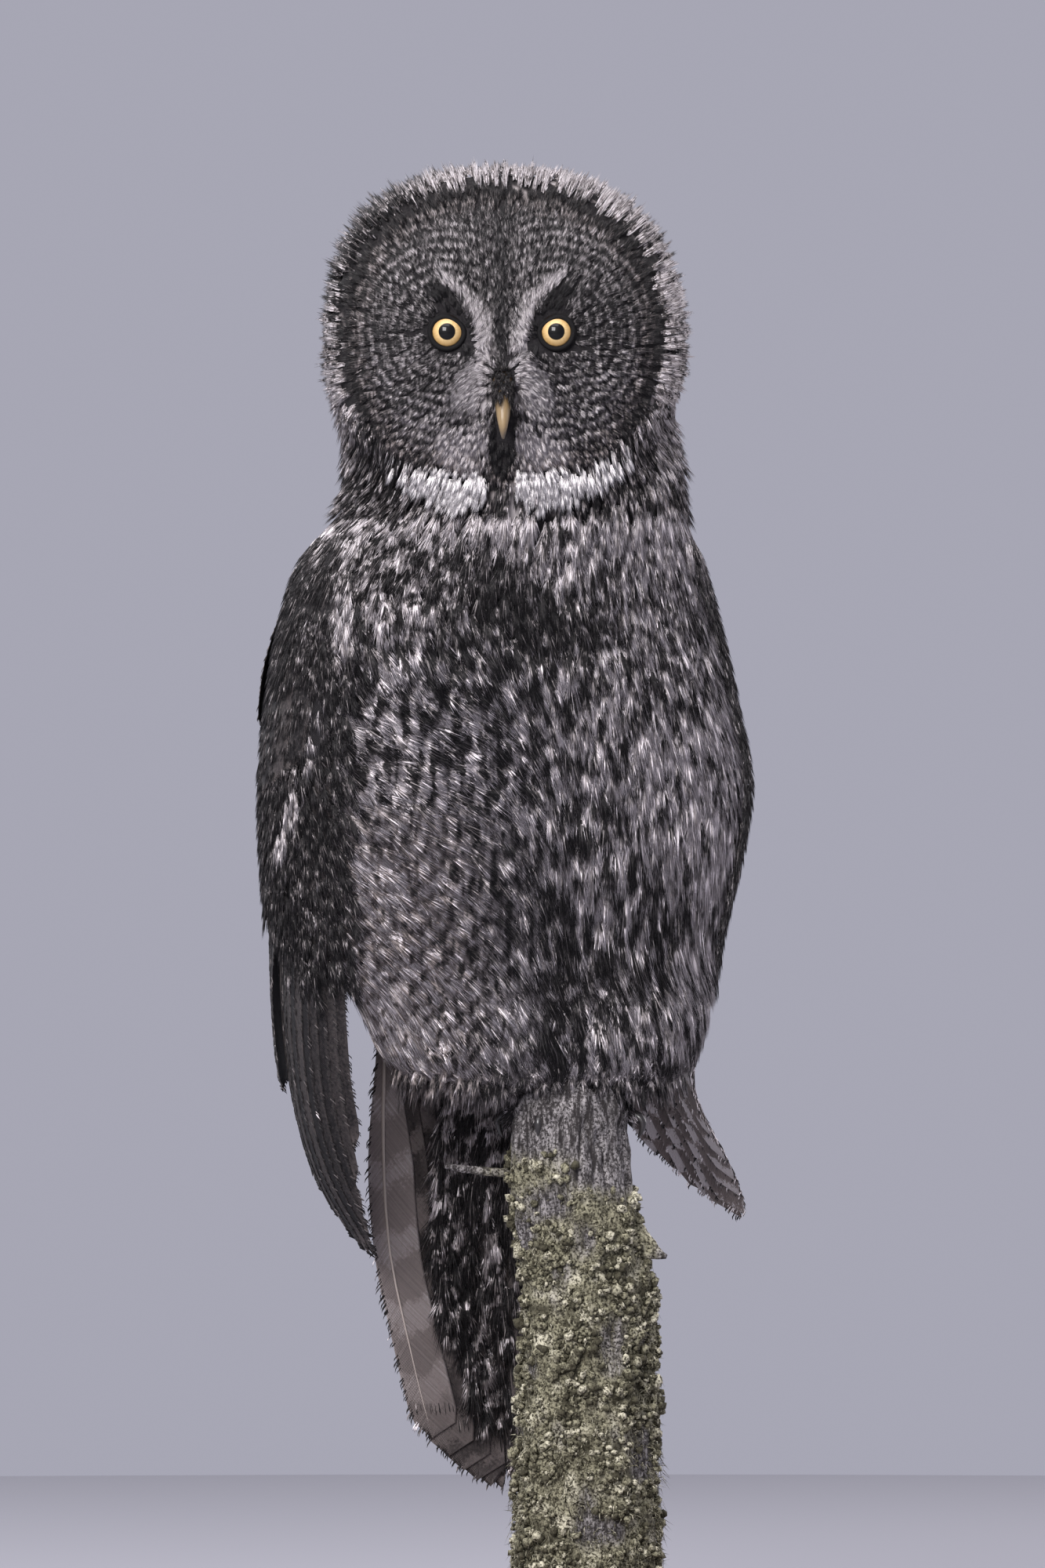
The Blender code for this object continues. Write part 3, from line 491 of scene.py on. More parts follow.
def finish(name, roughness=0.6, **constants):
    """A material, its network and its Principled shader, whose constants are set on its own sockets."""
    made = bpy.data.materials.new(name)
    made.use_nodes = True
    shader = made.node_tree.nodes["Principled BSDF"]
    shader.inputs["Roughness"].default_value = roughness
    for key, value in constants.items():
        shader.inputs[key.replace("_", " ")].default_value = value
    return made, Network(made.node_tree), shader


def bumped(net, shader, height, depth, strength=1.0):
    """Feeds a height in, as a bump of that depth in metres."""
    made = net.node("ShaderNodeBump", None, Height=height, Distance=depth, Strength=strength)
    net.tree.links.new(made.outputs["Normal"], shader.inputs["Normal"])


# %% [markdown]
# ## How plumage is coloured
# A great grey owl is painted in two inks, charcoal and a pale lavender grey, with a breath of brown. Each
# feather carries its own pattern: a dark streak along the shaft, pale patches on both webs and darker bars
# across. On top of that the whole bird has large markings, such as the rings of the face. So each coat mesh
# stores, at every point, where it is on its feather (`feather`: along, across, a number of its own), what
# the marking there is (`marking`: share of pale, bars, dark shaft) and a third set (`barb`: its own
# lightness, warmth, contrast). One group turns these into a colour, and skin and coat share it: cloudy
# noise is cut at a level that the share sets, and each barb shifts the cut a little, so edges look brushed.

# %% The plumage group
DARK = (0.009, 0.0078, 0.009)
PALE = (0.55, 0.51, 0.525)
WHITE = (0.90, 0.865, 0.87)
BROWN = (0.20, 0.142, 0.118)
RING_PITCH = 5.6
BAR_PITCH = 9.5

plumage, net, given, result = group(
    "plumage",
    (("Feather", "NodeSocketVector", None), ("Marking", "NodeSocketVector", None),
     ("Barb", "NodeSocketVector", None), ("Rings", "NodeSocketVector", None),
     ("Place", "NodeSocketVector", None), ("Mottle", "NodeSocketFloat", 120.0),
     ("Softness", "NodeSocketFloat", 0.1),
     ("Gain", "NodeSocketFloat", 1.0), ("Tuft", "NodeSocketFloat", 0.14)),
    (("Colour", "NodeSocketColor"), ("Height", "NodeSocketFloat")),
)
along, across, own = net.parts(given["Feather"])
light, bars, streak = net.parts(given["Marking"])
tint, warmth, contrast = net.parts(given["Barb"])
eye, ring_strength, bar_place = net.parts(given["Rings"])
grain = net.cloud(given["Place"], 900.0, 2.0, 0.6)
patch = net.cloud(given["Place"], 170.0, 2.0, 0.5)
wobble = net.times(net.less(patch, 0.5), 1.6)
x, y, z = net.parts(given["Place"])
slip = net.times(net.less(tint, 0.5), 0.5)
tall = net.fused(net.times(z, given["Mottle"]), 0.42, slip)
wide = net.times(x, given["Mottle"])
deep = net.times(y, given["Mottle"])
island = net.cloud(net.node("ShaderNodeCombineXYZ", None, X=wide, Y=deep, Z=tall).outputs[0], 1.0, 2.0, 0.55)
bar_turn = net.fused(bar_place, 2 * math.pi / BAR_PITCH, net.times(wobble, 7.0))
bar_turn = net.plus(bar_turn, net.times(slip, 2.2))
bar_wave = net.times(net.times(net.sum("SINE", bar_turn), 0.12), bars)
shaft = net.times(streak, net.step(net.sum("ABSOLUTE", across), 0.35, 0.0))
reach = net.fused(net.less(light, 0.5), 0.62, island)
reach = net.plus(reach, net.fused(net.less(own, 0.5), given["Tuft"], bar_wave))
reach = net.less(reach, net.times(shaft, 0.16))
ring_turn = net.fused(eye, 2 * math.pi / RING_PITCH, net.fused(wobble, 2.7, net.times(slip, 1.6)))
ring_wave = net.times(net.sum("SINE", ring_turn), ring_strength)
reach = net.fused(ring_wave, 0.082, reach)
level = net.step(net.sum("DIVIDE", net.less(reach, 0.5), given["Softness"]), -1.0, 1.0)
jitter = net.times(net.less(tint, 0.5), contrast)
level = net.times(level, net.fused(jitter, 1.3, 0.82))
stray = net.times(net.step(tint, 0.86, 0.97), net.times(contrast, 0.30))
level = net.plus(level, net.times(stray, net.step(light, -0.2, 0.3)))
level = net.plus(level, net.times(net.less(grain, 0.42), 0.09), clamp=True)
shade = net.blend(net.times(level, given["Gain"]), DARK, PALE, clamp=False)
middle = net.times(net.times(level, net.less(1.0, level)), 4.0)
brownish = net.times(warmth, middle, clamp=True)
colour = net.blend(brownish, shade, BROWN)
bright = net.times(net.step(light, 1.1, 1.6), net.fused(jitter, 0.5, 0.85), clamp=True)
colour = net.blend(bright, colour, WHITE)
net.tree.links.new(colour, result["Colour"])
net.tree.links.new(net.plus(grain, net.times(tint, 0.5)), result["Height"])
print("plumage group:", len(plumage.nodes), "nodes")

# %% Finishes of skin and coat


def coat_finish(name, mottle, softness, gain, tuft=0.14, roughness=0.75):
    """Feather coat: the plumage group fed by the piece's attributes, with a faint sheen. Mottle is in
    patches a metre, softness is how gradually a pale patch ends, gain how pale it is, and tuft how much
    one feather differs from the next."""
    made, net, shader = finish(name, roughness, Specular_IOR_Level=0.25, Sheen_Weight=0.04,
                               Sheen_Roughness=0.5)
    paint = placed(net, plumage, Feather=net.attribute("feather"), Marking=net.attribute("marking"),
                   Barb=net.attribute("barb"), Rings=net.attribute("rings"), Place=net.place(),
                   Mottle=mottle, Softness=softness, Gain=gain, Tuft=tuft)
    net.tree.links.new(paint["Colour"], shader.inputs["Base Color"])
    bumped(net, shader, paint["Height"], 0.0004, 0.5)
    return made


coat_material = coat_finish("contour_feathers", 165.0, 0.06, 1.75)
face_material = coat_finish("face_feathers", 620.0, 0.20, 1.12, 0.03)
head_material = coat_finish("head_feathers", 330.0, 0.08, 1.25, 0.2)
throat_material = coat_finish("throat_feathers", 225.0, 0.07, 1.55)
flank_material = coat_finish("flank_feathers", 260.0, 0.15, 1.75, 0.08)
white_material = coat_finish("white_feathers", 300.0, 0.06, 1.5, roughness=0.95)
wing_coat_material = coat_finish("wing_coverts", 420.0, 0.12, 1.2, 0.10)
skin_material = coat_finish("feathered_skin", 118.0, 0.12, 0.9, 0.14, 0.9)
print("coat finishes ready")

# %% [markdown]
# ## The outer surface
# The head, neck and body form one surface. Cut level with the floor, each slice is a closed curve round an
# axis inside the bird, so a place on it is two numbers: the turn round the axis, and the height. Over the
# crown and under the belly the slices would shrink to nothing, so there the rays fan out from one point
# instead. The surface is a table of ray lengths, found by halving the gap between inside and outside.

# %% Is a point inside the owl?
HEAD_BACK_POWER = 0.9


def outline_radius(turn, width, rise, drop):
    """Radius of a rounded outline at an angle: |cos / width|^p + |sin / rise or drop|^p = 1."""
    c, s = np.abs(np.cos(turn)), np.sin(turn)
    tall = np.where(s > 0, rise, drop)
    return ((c / width) ** OUTLINE_POWER + (np.abs(s) / tall) ** OUTLINE_POWER) ** (-1 / OUTLINE_POWER)


def disc_share(x, z):
    """Turn round the facial disc's middle, and how far out to its rim a place is: 1 is on the rim."""
    turn = np.arctan2(z - DISC_Z, x - DISC_X)
    radius = np.hypot(x - DISC_X, z - DISC_Z)
    return turn, radius / outline_radius(turn, DISC_HALF_WIDTH, DISC_RISE, DISC_DROP)


def face_y(turn, share):
    """Depth of the face: forward in its middle, swept back to its rim, with a bowl round each eye."""
    radius = outline_radius(turn, DISC_HALF_WIDTH, DISC_RISE, DISC_DROP) * share
    x, z = DISC_X + radius * np.cos(turn), DISC_Z + radius * np.sin(turn)
    up, down = np.maximum(np.sin(turn), 0), np.maximum(-np.sin(turn), 0)
    rim = -18.0 - 5.0 * up**2 - 16.0 * down**2
    y = FACE_FRONT_Y * (1 - share**2.6) + rim * share**2.6
    for side in (-1, 1):
        y = y + BOWL_DEPTH * bell(np.hypot(x - DISC_X - side * EYE_APART / 2, z - EYE_Z), 0.0, BOWL_REACH)
    return y + 2.0 * bell(share, 0.9, 0.05) - 2.5 * bell(share, 1.0, 0.04)


def in_head(x, y, z):
    """Between the face in front and the rounded back of the head."""
    radius = np.hypot(x - HEAD_X, z - HEAD_Z)
    side = outline_radius(np.arctan2(z - HEAD_Z, x - HEAD_X), HEAD_HALF_WIDTH, HEAD_RISE, HEAD_DROP)
    share = np.clip(radius / side, 0, 1)
    back = HEAD_WIDEST_Y + (HEAD_BACK_Y - HEAD_WIDEST_Y) * np.sqrt(1 - share ** (2 / HEAD_BACK_POWER))
    turn, disc = disc_share(x, z)
    rim = outline_radius(turn, DISC_HALF_WIDTH, DISC_RISE, DISC_DROP)
    room = outline_radius(turn, HEAD_HALF_WIDTH, HEAD_RISE, HEAD_DROP) - rim
    past = np.clip((disc - 1) * rim / room, 0, 1)
    edge = face_y(turn, 1.0)
    rounded = edge + (HEAD_WIDEST_Y - edge) * (1 - np.sqrt(1 - past**2))
    front = np.where(disc < 1, face_y(turn, np.minimum(disc, 1)), rounded)
    return (radius < side) & (y > front) & (y < back)


def section(z, stations):
    """Centre, half width and two depths of a body section, its span as seen from the front."""
    heights = [s[0] for s in stations]
    cx, span, cy, front, back = (smooth(z, heights, [s[k] for s in stations]) for k in range(1, 6))
    turn = BODY_YAW * ramp(z, 645.0, 535.0)
    depth = (front + back) / 2
    width = np.sqrt(np.maximum(span**2 - (depth * np.sin(turn)) ** 2, 1.0)) / np.cos(turn)
    return cx, cy, width, front, back, turn


def body_share(x, y, z, stations):
    """How far out in its section a place is, 1 on the surface, and its angle from the chest."""
    cx, cy, width, front, back, turn = section(z, stations)
    lateral = -((x - cx) * np.cos(turn) + (y - cy) * np.sin(turn))
    rear = -(x - cx) * np.sin(turn) + (y - cy) * np.cos(turn)
    deep = np.where(rear < 0, front, back)
    return np.hypot(lateral / width, rear / deep), np.arctan2(lateral / width, -rear / deep)


def in_body(x, y, z):
    """Inside the turned, rounded sections, which close in under the belly."""
    upper, _ = body_share(x, y, z, SECTIONS)
    lower, _ = body_share(x, y, z, BELLY)
    share = ramp(z, 377.0, 340.0)
    out = upper * (1 - share) + lower * share
    return (out < 1) & (z < 650.0) & (z > BELLY_FLOOR + 9.0 * out**4)


# %% The table of ray lengths
CROWN_START, BELLY_START = 700.0, 330.0
CROWN_STRETCH, BELLY_STRETCH = 80.0, 60.0
U_COUNT, V_COUNT = 288, 480
V_LOW = BELLY_START - BELLY_STRETCH * math.pi / 2
V_HIGH = CROWN_START + CROWN_STRETCH * math.pi / 2
AXIS = ((293.0, -28.0, 36.0), (330.0, -28.0, 38.0), (377.0, -42.0, 48.0), (500.0, -44.0, 44.0),
        (590.0, -42.0, 34.0), (640.0, -42.0, 26.0), (700.0, -42.5, 25.0), (790.0, -42.5, 25.0))


def axis(z):
    """The line inside the bird that the rays leave from."""
    heights, xs, ys = zip(*AXIS)
    z = np.clip(z, BELLY_START, CROWN_START)
    return np.stack([np.interp(z, heights, xs), np.interp(z, heights, ys), z], -1)


def ray(u, v):
    """Start and direction of the ray at a turn u (radians) and a height-like v."""
    lift = np.where(v > CROWN_START, (v - CROWN_START) / CROWN_STRETCH, 0.0)
    lift = np.where(v < BELLY_START, (v - BELLY_START) / BELLY_STRETCH, lift)
    way = np.stack([np.cos(u) * np.cos(lift), np.sin(u) * np.cos(lift), np.sin(lift)], -1)
    return axis(v), way


def address(p):
    """The (u, v) of the ray through a point."""
    start = axis(p[..., 2])
    off = p - start
    flat = np.hypot(off[..., 0], off[..., 1])
    rise = np.arctan2(off[..., 2], flat)
    v = np.clip(p[..., 2], BELLY_START, CROWN_START)
    v = v + np.where(p[..., 2] > CROWN_START, rise * CROWN_STRETCH, 0.0)
    v = v + np.where(p[..., 2] < BELLY_START, rise * BELLY_STRETCH, 0.0)
    return np.arctan2(off[..., 1], off[..., 0]), v


def soften(table, reach_u, reach_v):
    """The table blurred by a bell curve, round its turn and along its height."""
    for line, reach, wrap in ((0, reach_v, False), (1, reach_u, True)):
        steps = np.arange(-3 * math.ceil(reach), 3 * math.ceil(reach) + 1)
        weights = bell(steps, 0.0, reach)
        padded = np.pad(table, [(len(steps) // 2,) * 2 if k == line else (0, 0) for k in (0, 1)],
                        mode="wrap" if wrap else "edge")
        size = table.shape[line]
        table = sum(w * np.take(padded, np.arange(k, k + size), axis=line) for k, w in enumerate(weights))
        table = table / weights.sum()
    return table


u_line = np.arange(U_COUNT) * 2 * math.pi / U_COUNT - math.pi
v_line = np.linspace(V_LOW, V_HIGH, V_COUNT)
u_grid, v_grid = np.meshgrid(u_line, v_line)
start, way = ray(u_grid, v_grid)
low, high = np.zeros(u_grid.shape), np.full(u_grid.shape, 190.0)
for _ in range(18):
    halfway = (low + high) / 2
    p = start + way * halfway[..., None]
    inside = in_head(p[..., 0], p[..., 1], p[..., 2]) | in_body(p[..., 0], p[..., 1], p[..., 2])
    low, high = np.where(inside, halfway, low), np.where(inside, high, halfway)
reach_table = soften(low, 1.0, 1.2)
neck_share = bell(v_grid, 622.0, 16.0)
reach_table = reach_table * (1 - neck_share) + soften(low, 3.0, 8.0) * neck_share
print("ray lengths", round(float(low.min()), 1), "to", round(float(low.max()), 1), "mm")

# %% Reading the surface


def looked_up(table, u, v):
    """A table's value at any (u, v), mixed from its four neighbours; it wraps round in u."""
    i = (u + math.pi) / (2 * math.pi) * U_COUNT
    j = np.clip((v - V_LOW) / (V_HIGH - V_LOW) * (V_COUNT - 1), 0, V_COUNT - 1.001)
    i0, j0 = np.floor(i).astype(int), np.floor(j).astype(int)
    fi, fj = i - i0, j - j0
    i0, i1 = i0 % U_COUNT, (i0 + 1) % U_COUNT
    if table.ndim == 3:
        fi, fj = fi[..., None], fj[..., None]
    upper = table[j0, i0] * (1 - fi) + table[j0, i1] * fi
    lower = table[j0 + 1, i0] * (1 - fi) + table[j0 + 1, i1] * fi
    return upper * (1 - fj) + lower * fj


outer_points = start + way * reach_table[..., None]
du = np.roll(outer_points, -1, 1) - np.roll(outer_points, 1, 1)
dv = np.gradient(outer_points, axis=0)
normal_table = unit(np.cross(du, dv))
normal_table[:4], normal_table[-4:] = (0, 0, -1), (0, 0, 1)


def on_surface(p):
    """The surface point on the ray through p, and the outward normal there."""
    u, v = address(p)
    start, way = ray(u, v)
    return start + way * looked_up(reach_table, u, v)[..., None], unit(looked_up(normal_table, u, v))


def surface_at(u, v):
    """The surface point and normal at an address."""
    start, way = ray(u, v)
    return start + way * looked_up(reach_table, u, v)[..., None], unit(looked_up(normal_table, u, v))


def bake_place(u, v):
    """The skin's unwrap: turn across, height up, with a small margin."""
    return np.stack([0.02 + 0.96 * ((u + math.pi) / (2 * math.pi) % 1.0),
                     0.02 + 0.96 * (v - V_LOW) / (V_HIGH - V_LOW)], -1)


print("outer surface from", np.round(outer_points.min((0, 1)), 1), "to", np.round(outer_points.max((0, 1)),
                                                                                  1))

# %% [markdown]
# ## Large markings
# The face is a pattern of its own: pale crescents between the eyes, black patches over them, a thin dark
# line down the brow, a dark rim to the disc, a black chin between two white bow ties, and grey rings round
# each eye. Each marking is a brush stroke, a line of a few points with a half width at each, so it can be
# moved like a pencil line. Breast and belly have no drawing, only soft clouds of light and dark.

# %% Brush strokes of the face: distance from the middle line, height, half width
BROW = ((33, 727, 1.4), (26, 721, 2.4), (20, 713, 3.6), (15.4, 704, 4.6), (12.2, 694, 4.6), (11.0, 685, 4.0))
MOUSTACHE = ((10.5, 686, 3.2), (12.5, 678, 4.8), (15.5, 669, 7.0), (18, 660, 7.0))
BLACK_PATCH = ((38, 717, 1.6), (32, 716.5, 4.2), (26, 711, 5.8), (21.0, 702, 5.2), (18.0, 692, 3.8),
               (18, 683, 3.0))
CHEEK = ((15, 636, 6.0), (21, 633, 8.5), (27, 632, 6.0))
CHIN = ((0, 650, 3.6), (0, 640, 5.6), (0, 630, 6.0), (0, 622, 3.4))
BOW_TIE_NEAR = ((14, 615.0, 6.4), (21, 614.0, 7.6), (28, 615.0, 7.0), (38, 618.5, 4.8), (47, 621.5, 2.8),
                (55, 624, 1.6), (60, 626, 1.0))
BOW_TIE_FAR = ((11.5, 617, 4.8), (16, 615.5, 6.6), (21, 614.8, 7.6), (30, 615.5, 7.0), (38, 617.3, 5.2),
               (51, 621.5, 3.0),
               (60, 626, 2.0), (68.5, 632, 1.6))


def stroke(x, z, points, soft=0.35):
    """1 inside a line drawn with a round brush of changing width, falling to 0 outside its edge."""
    best = np.full(np.shape(x), 9.0)
    for (x0, z0, w0), (x1, z1, w1) in zip(points, points[1:]):
        length = (x1 - x0) ** 2 + (z1 - z0) ** 2
        t = np.clip(((x - x0) * (x1 - x0) + (z - z0) * (z1 - z0)) / length, 0, 1)
        away = np.hypot(x - x0 - t * (x1 - x0), z - z0 - t * (z1 - z0))
        best = np.minimum(best, away / (w0 + t * (w1 - w0)))
    return 1 - ramp(best, 1 - soft, 1 + soft)


def bow_ties(p):
    """1 on the two white patches under the disc; the far one breaks into flecks as it rises."""
    off = p[..., 0] - DISC_X
    far = stroke(np.abs(off), p[..., 2], BOW_TIE_FAR, 0.12)
    broken = ramp(noise(p, 3.2, 17), 0.40, 0.52)
    far = far * (1 - ramp(off, 46.0, 54.0) * (1 - broken))
    near = stroke(np.abs(off), p[..., 2], BOW_TIE_NEAR, 0.12)
    near = near * (1 - ramp(-off, 40.0, 50.0) * (1 - broken))
    return np.where(off < 0, near, far) * (p[..., 1] < 12.0)


def face_light(p):
    """Share of pale on the face at points, how strong its rings are, and its warmth."""
    x, z = p[..., 0], p[..., 2]
    off = x - DISC_X
    aside = np.abs(off)
    eye = np.hypot(aside - EYE_APART / 2, z - EYE_Z)
    _, share = disc_share(x, z)
    light = 0.33 + 0.16 * (noise(p, 11.0, 3) - 0.5) + 0.08 * ramp(z, 700.0, 650.0)
    rings = ramp(eye, 11.0, 18.0) * (1 - 0.75 * ramp(eye, 50.0, 70.0)) * (1 - 0.7 * bell(aside, 0.0, 8.0))
    light = light - 0.07 * bell(aside, 0.0, 6.0) * ramp(z, 700.0, 740.0)
    for points, value, soft in ((BROW, 0.95, 1.2), (MOUSTACHE, 0.84, 1.1), (CHEEK, 1.12, 1.2)):
        mask = stroke(aside, z, points, soft)
        light = light * (1 - mask) + value * mask
        rings = rings * (1 - mask)
    line = (1 - ramp(aside, 1.2, 5.0)) * ramp(z, 664.0, 672.0)
    light = light * (1 - 0.5 * line)
    for points, value, soft in ((BLACK_PATCH, -0.6, 0.5), (CHIN, -0.6, 0.5)):
        mask = stroke(aside, z, points, soft)
        light = light * (1 - mask) + value * mask
        rings = rings * (1 - mask)
    dark = 1 - ramp(eye, 9.2, 10.6)
    light = light * (1 - dark) - 0.6 * dark
    rim = ramp(share, 0.95, 0.98) * (1 - 0.9 * ramp(z, 660.0, 630.0))
    light = light * (1 - rim) + 0.0 * rim
    white = bow_ties(p)
    light = light * (1 - white) + 1.9 * white
    return light, rings * (1 - white) * (1 - rim), 0.30 * ramp(share, 0.8, 1.0) + 0.10


def body_light(p, angle):
    """Share of pale, bars, dark shaft and warmth of the coat outside the facial disc."""
    x, y, z = p[..., 0], p[..., 1], p[..., 2]
    light = 0.50 + 0.24 * (noise(p, 34.0, 11) - 0.5)
    light = light + 0.16 * bell(z, 600.0, 16.0)
    light = light - 0.26 * bell(x, -47.0, 10.0) * bell(z, 569.0, 11.0)
    light = light + 0.26 * bell(x, -44.0, 9.0) * bell(z, 592.0, 12.0)
    light = light - 0.16 * bell(x, -46.0, 34.0) * bell(z, 535.0, 26.0)
    flank = ramp(x, -35.0, -80.0) * ramp(z, 480.0, 400.0)
    light = light + 0.10 * flank + 0.12 * bell(x, -100.0, 20.0) * bell(z, 340.0, 40.0)
    light = light - 0.30 * bell(x, -14.0, 7.0) * bell(z, 326.0, 22.0)
    light = light + 0.12 * ramp(x, 20.0, 70.0) + 0.04 * bell(z, 470.0, 50.0)
    bars = 0.15 + 0.85 * flank * bell(z, 345.0, 42.0)
    warmth = 0.22 + 0.33 * flank
    return np.clip(light, -0.2, 1.0), bars, 0 * z + 0.6 - 0.4 * flank, warmth


# %% [markdown]
# ## The lie of the coat
# Stroke an owl and every feather points away from the bill: out over the face from each eye, back over the
# crown, down the nape, the breast and the belly. On this bird the flank has slid out from under the wing
# and sweeps across the belly. `lie` gives that direction anywhere, as a unit vector along the surface.

# %% Direction of the feathers
FLANK_TILT = ((600, -0.25), (560, -0.1), (520, 0.5), (490, 1.05), (440, 1.0), (390, 0.95), (350, 0.85),
              (310, 0.6), (270, 0.3))


def lie(p, n):
    """Unit vector along the surface in which feathers at p point."""
    x, y, z = p[..., 0], p[..., 1], p[..., 2]
    _, share = disc_share(x, z)
    out = np.zeros(p.shape)
    for side in (-1, 1):
        gap = p - np.array((DISC_X + side * EYE_APART / 2, 0.0, EYE_Z))
        gap[..., 1] = 0.0
        out += gap / (np.sum(gap**2, -1, keepdims=True) + 9.0)
    gap = p - np.array((BILL_X, 0.0, 668.0))
    gap[..., 1] = 0.0
    out += 0.9 * gap / (np.sum(gap**2, -1, keepdims=True) + 9.0)
    face = unit(out)
    away = np.stack([(x - HEAD_X) / 90.0, 0.55 + 0.0 * y, (z - HEAD_Z) / 90.0], -1)
    down = np.stack([0 * x, 0 * y, -1 + 0 * z], -1)
    fall = ramp(y, 15.0, 85.0) + 1.2 * ramp(z, 670.0, 615.0)
    head = unit(away + 2.0 * fall[..., None] * down)
    heights, tilts = zip(*FLANK_TILT)
    tilt = np.interp(z, heights[::-1], tilts[::-1]) * (1 - ramp(x, -70.0, 5.0)) * (1 - ramp(y, 55.0, 90.0))
    tilt = tilt + 0.25 * ramp(x, 20.0, 70.0) * ramp(z, 560.0, 600.0)
    body = np.stack([np.sin(tilt), 0 * tilt, -np.cos(tilt)], -1)
    on_face = ((1 - ramp(share, 0.97, 1.06)) * (y < 5.0) * (z > 612.0))[..., None]
    on_head = ramp(z, 600.0, 628.0)[..., None]
    way = body * (1 - on_head) + head * on_head
    way = way * (1 - on_face) + face * on_face
    way = way - n * np.sum(way * n, -1, keepdims=True)
    return unit(way)


# %% [markdown]
# ## One feather is a fan of barbs
# Soft feathers are loose at their edges: barbs leave the shaft, spread and end in fine points. A barb here
# is a thin, straight spike with a three-sided section, and a feather is a fan of them along
# a middle line that follows the lie of the coat. A whole coat is computed as one array of
# (feather, barb, ring, corner), and its faces are one pattern of corner numbers repeated.

# %% Where the feathers stand


def scatter(inside, spacing, seed, low=V_LOW + 2, high=V_HIGH - 2):
    """Addresses of roots in rows about `spacing` mm apart, staggered and jittered, where inside(p, n)
    holds."""
    rng = np.random.default_rng(seed)
    found = []
    lengths = np.linalg.norm(np.roll(outer_points, -1, 1) - outer_points, axis=-1)
    travel = np.concatenate([np.zeros((V_COUNT, 1)), np.cumsum(lengths, 1)], 1)
    turns = np.append(u_line, u_line[0] + 2 * math.pi)
    for row, v in enumerate(np.arange(low, high, spacing * 0.87)):
        j = int(round((v - V_LOW) / (V_HIGH - V_LOW) * (V_COUNT - 1)))
        count = max(int(travel[j, -1] / spacing), 3)
        at = (np.arange(count) + 0.5 * (row % 2) + rng.uniform(-0.38, 0.38, count)) / count % 1.0
        u = np.interp(at * travel[j, -1], travel[j], turns)
        found.append(np.stack([u, v + spacing * rng.uniform(-0.38, 0.38, count)], -1))
    spots = np.concatenate(found)
    p, n = surface_at(spots[:, 0], spots[:, 1])
    return spots[inside(p, n)]


# %% Barbs as closed spikes


def spike_faces(count, rings):
    """Polygons of many three-sided spikes: a root cap, quads between rings, and a pointed tip."""
    per = 3 * rings + 1
    base = np.arange(count)[:, None] * per
    cap = np.array([[0, 2, 1]])
    tip = np.array([[3 * rings - 3 + a, 3 * rings - 3 + (a + 1) % 3, 3 * rings] for a in range(3)])
    walls = np.array([[3 * r + a, 3 * r + (a + 1) % 3, 3 * r + 3 + (a + 1) % 3, 3 * r + 3 + a]
                      for r in range(rings - 1) for a in range(3)])
    threes = (base[:, :, None] + np.concatenate([cap, tip])[None]).reshape(-1, 3)
    if rings == 1:
        return [threes]
    fours = (base[:, :, None] + walls[None]).reshape(-1, 4)
    return [threes, fours]


def spikes(middle, normal, width, flatness=0.5):
    """Corner points of spikes along middle lines (n, rings + 1, 3), the last point being the tip."""
    rings = middle.shape[1] - 1
    forward = unit(middle[:, 1:] - middle[:, :-1])
    across = unit(np.cross(normal[:, :rings], forward))
    up = np.cross(forward, across)
    half = (width / 2)[..., None]
    left = middle[:, :rings] - across * half
    right = middle[:, :rings] + across * half
    top = middle[:, :rings] + up * half * 2 * flatness
    corners = np.stack([left, right, top], 2).reshape(len(middle), rings * 3, 3)
    return np.concatenate([corners, middle[:, rings:]], 1)


# %% The coat maker
STATIONS = 6
PATCH = 0.003
FLANK_BARS = (math.sin(0.72), math.cos(0.72))


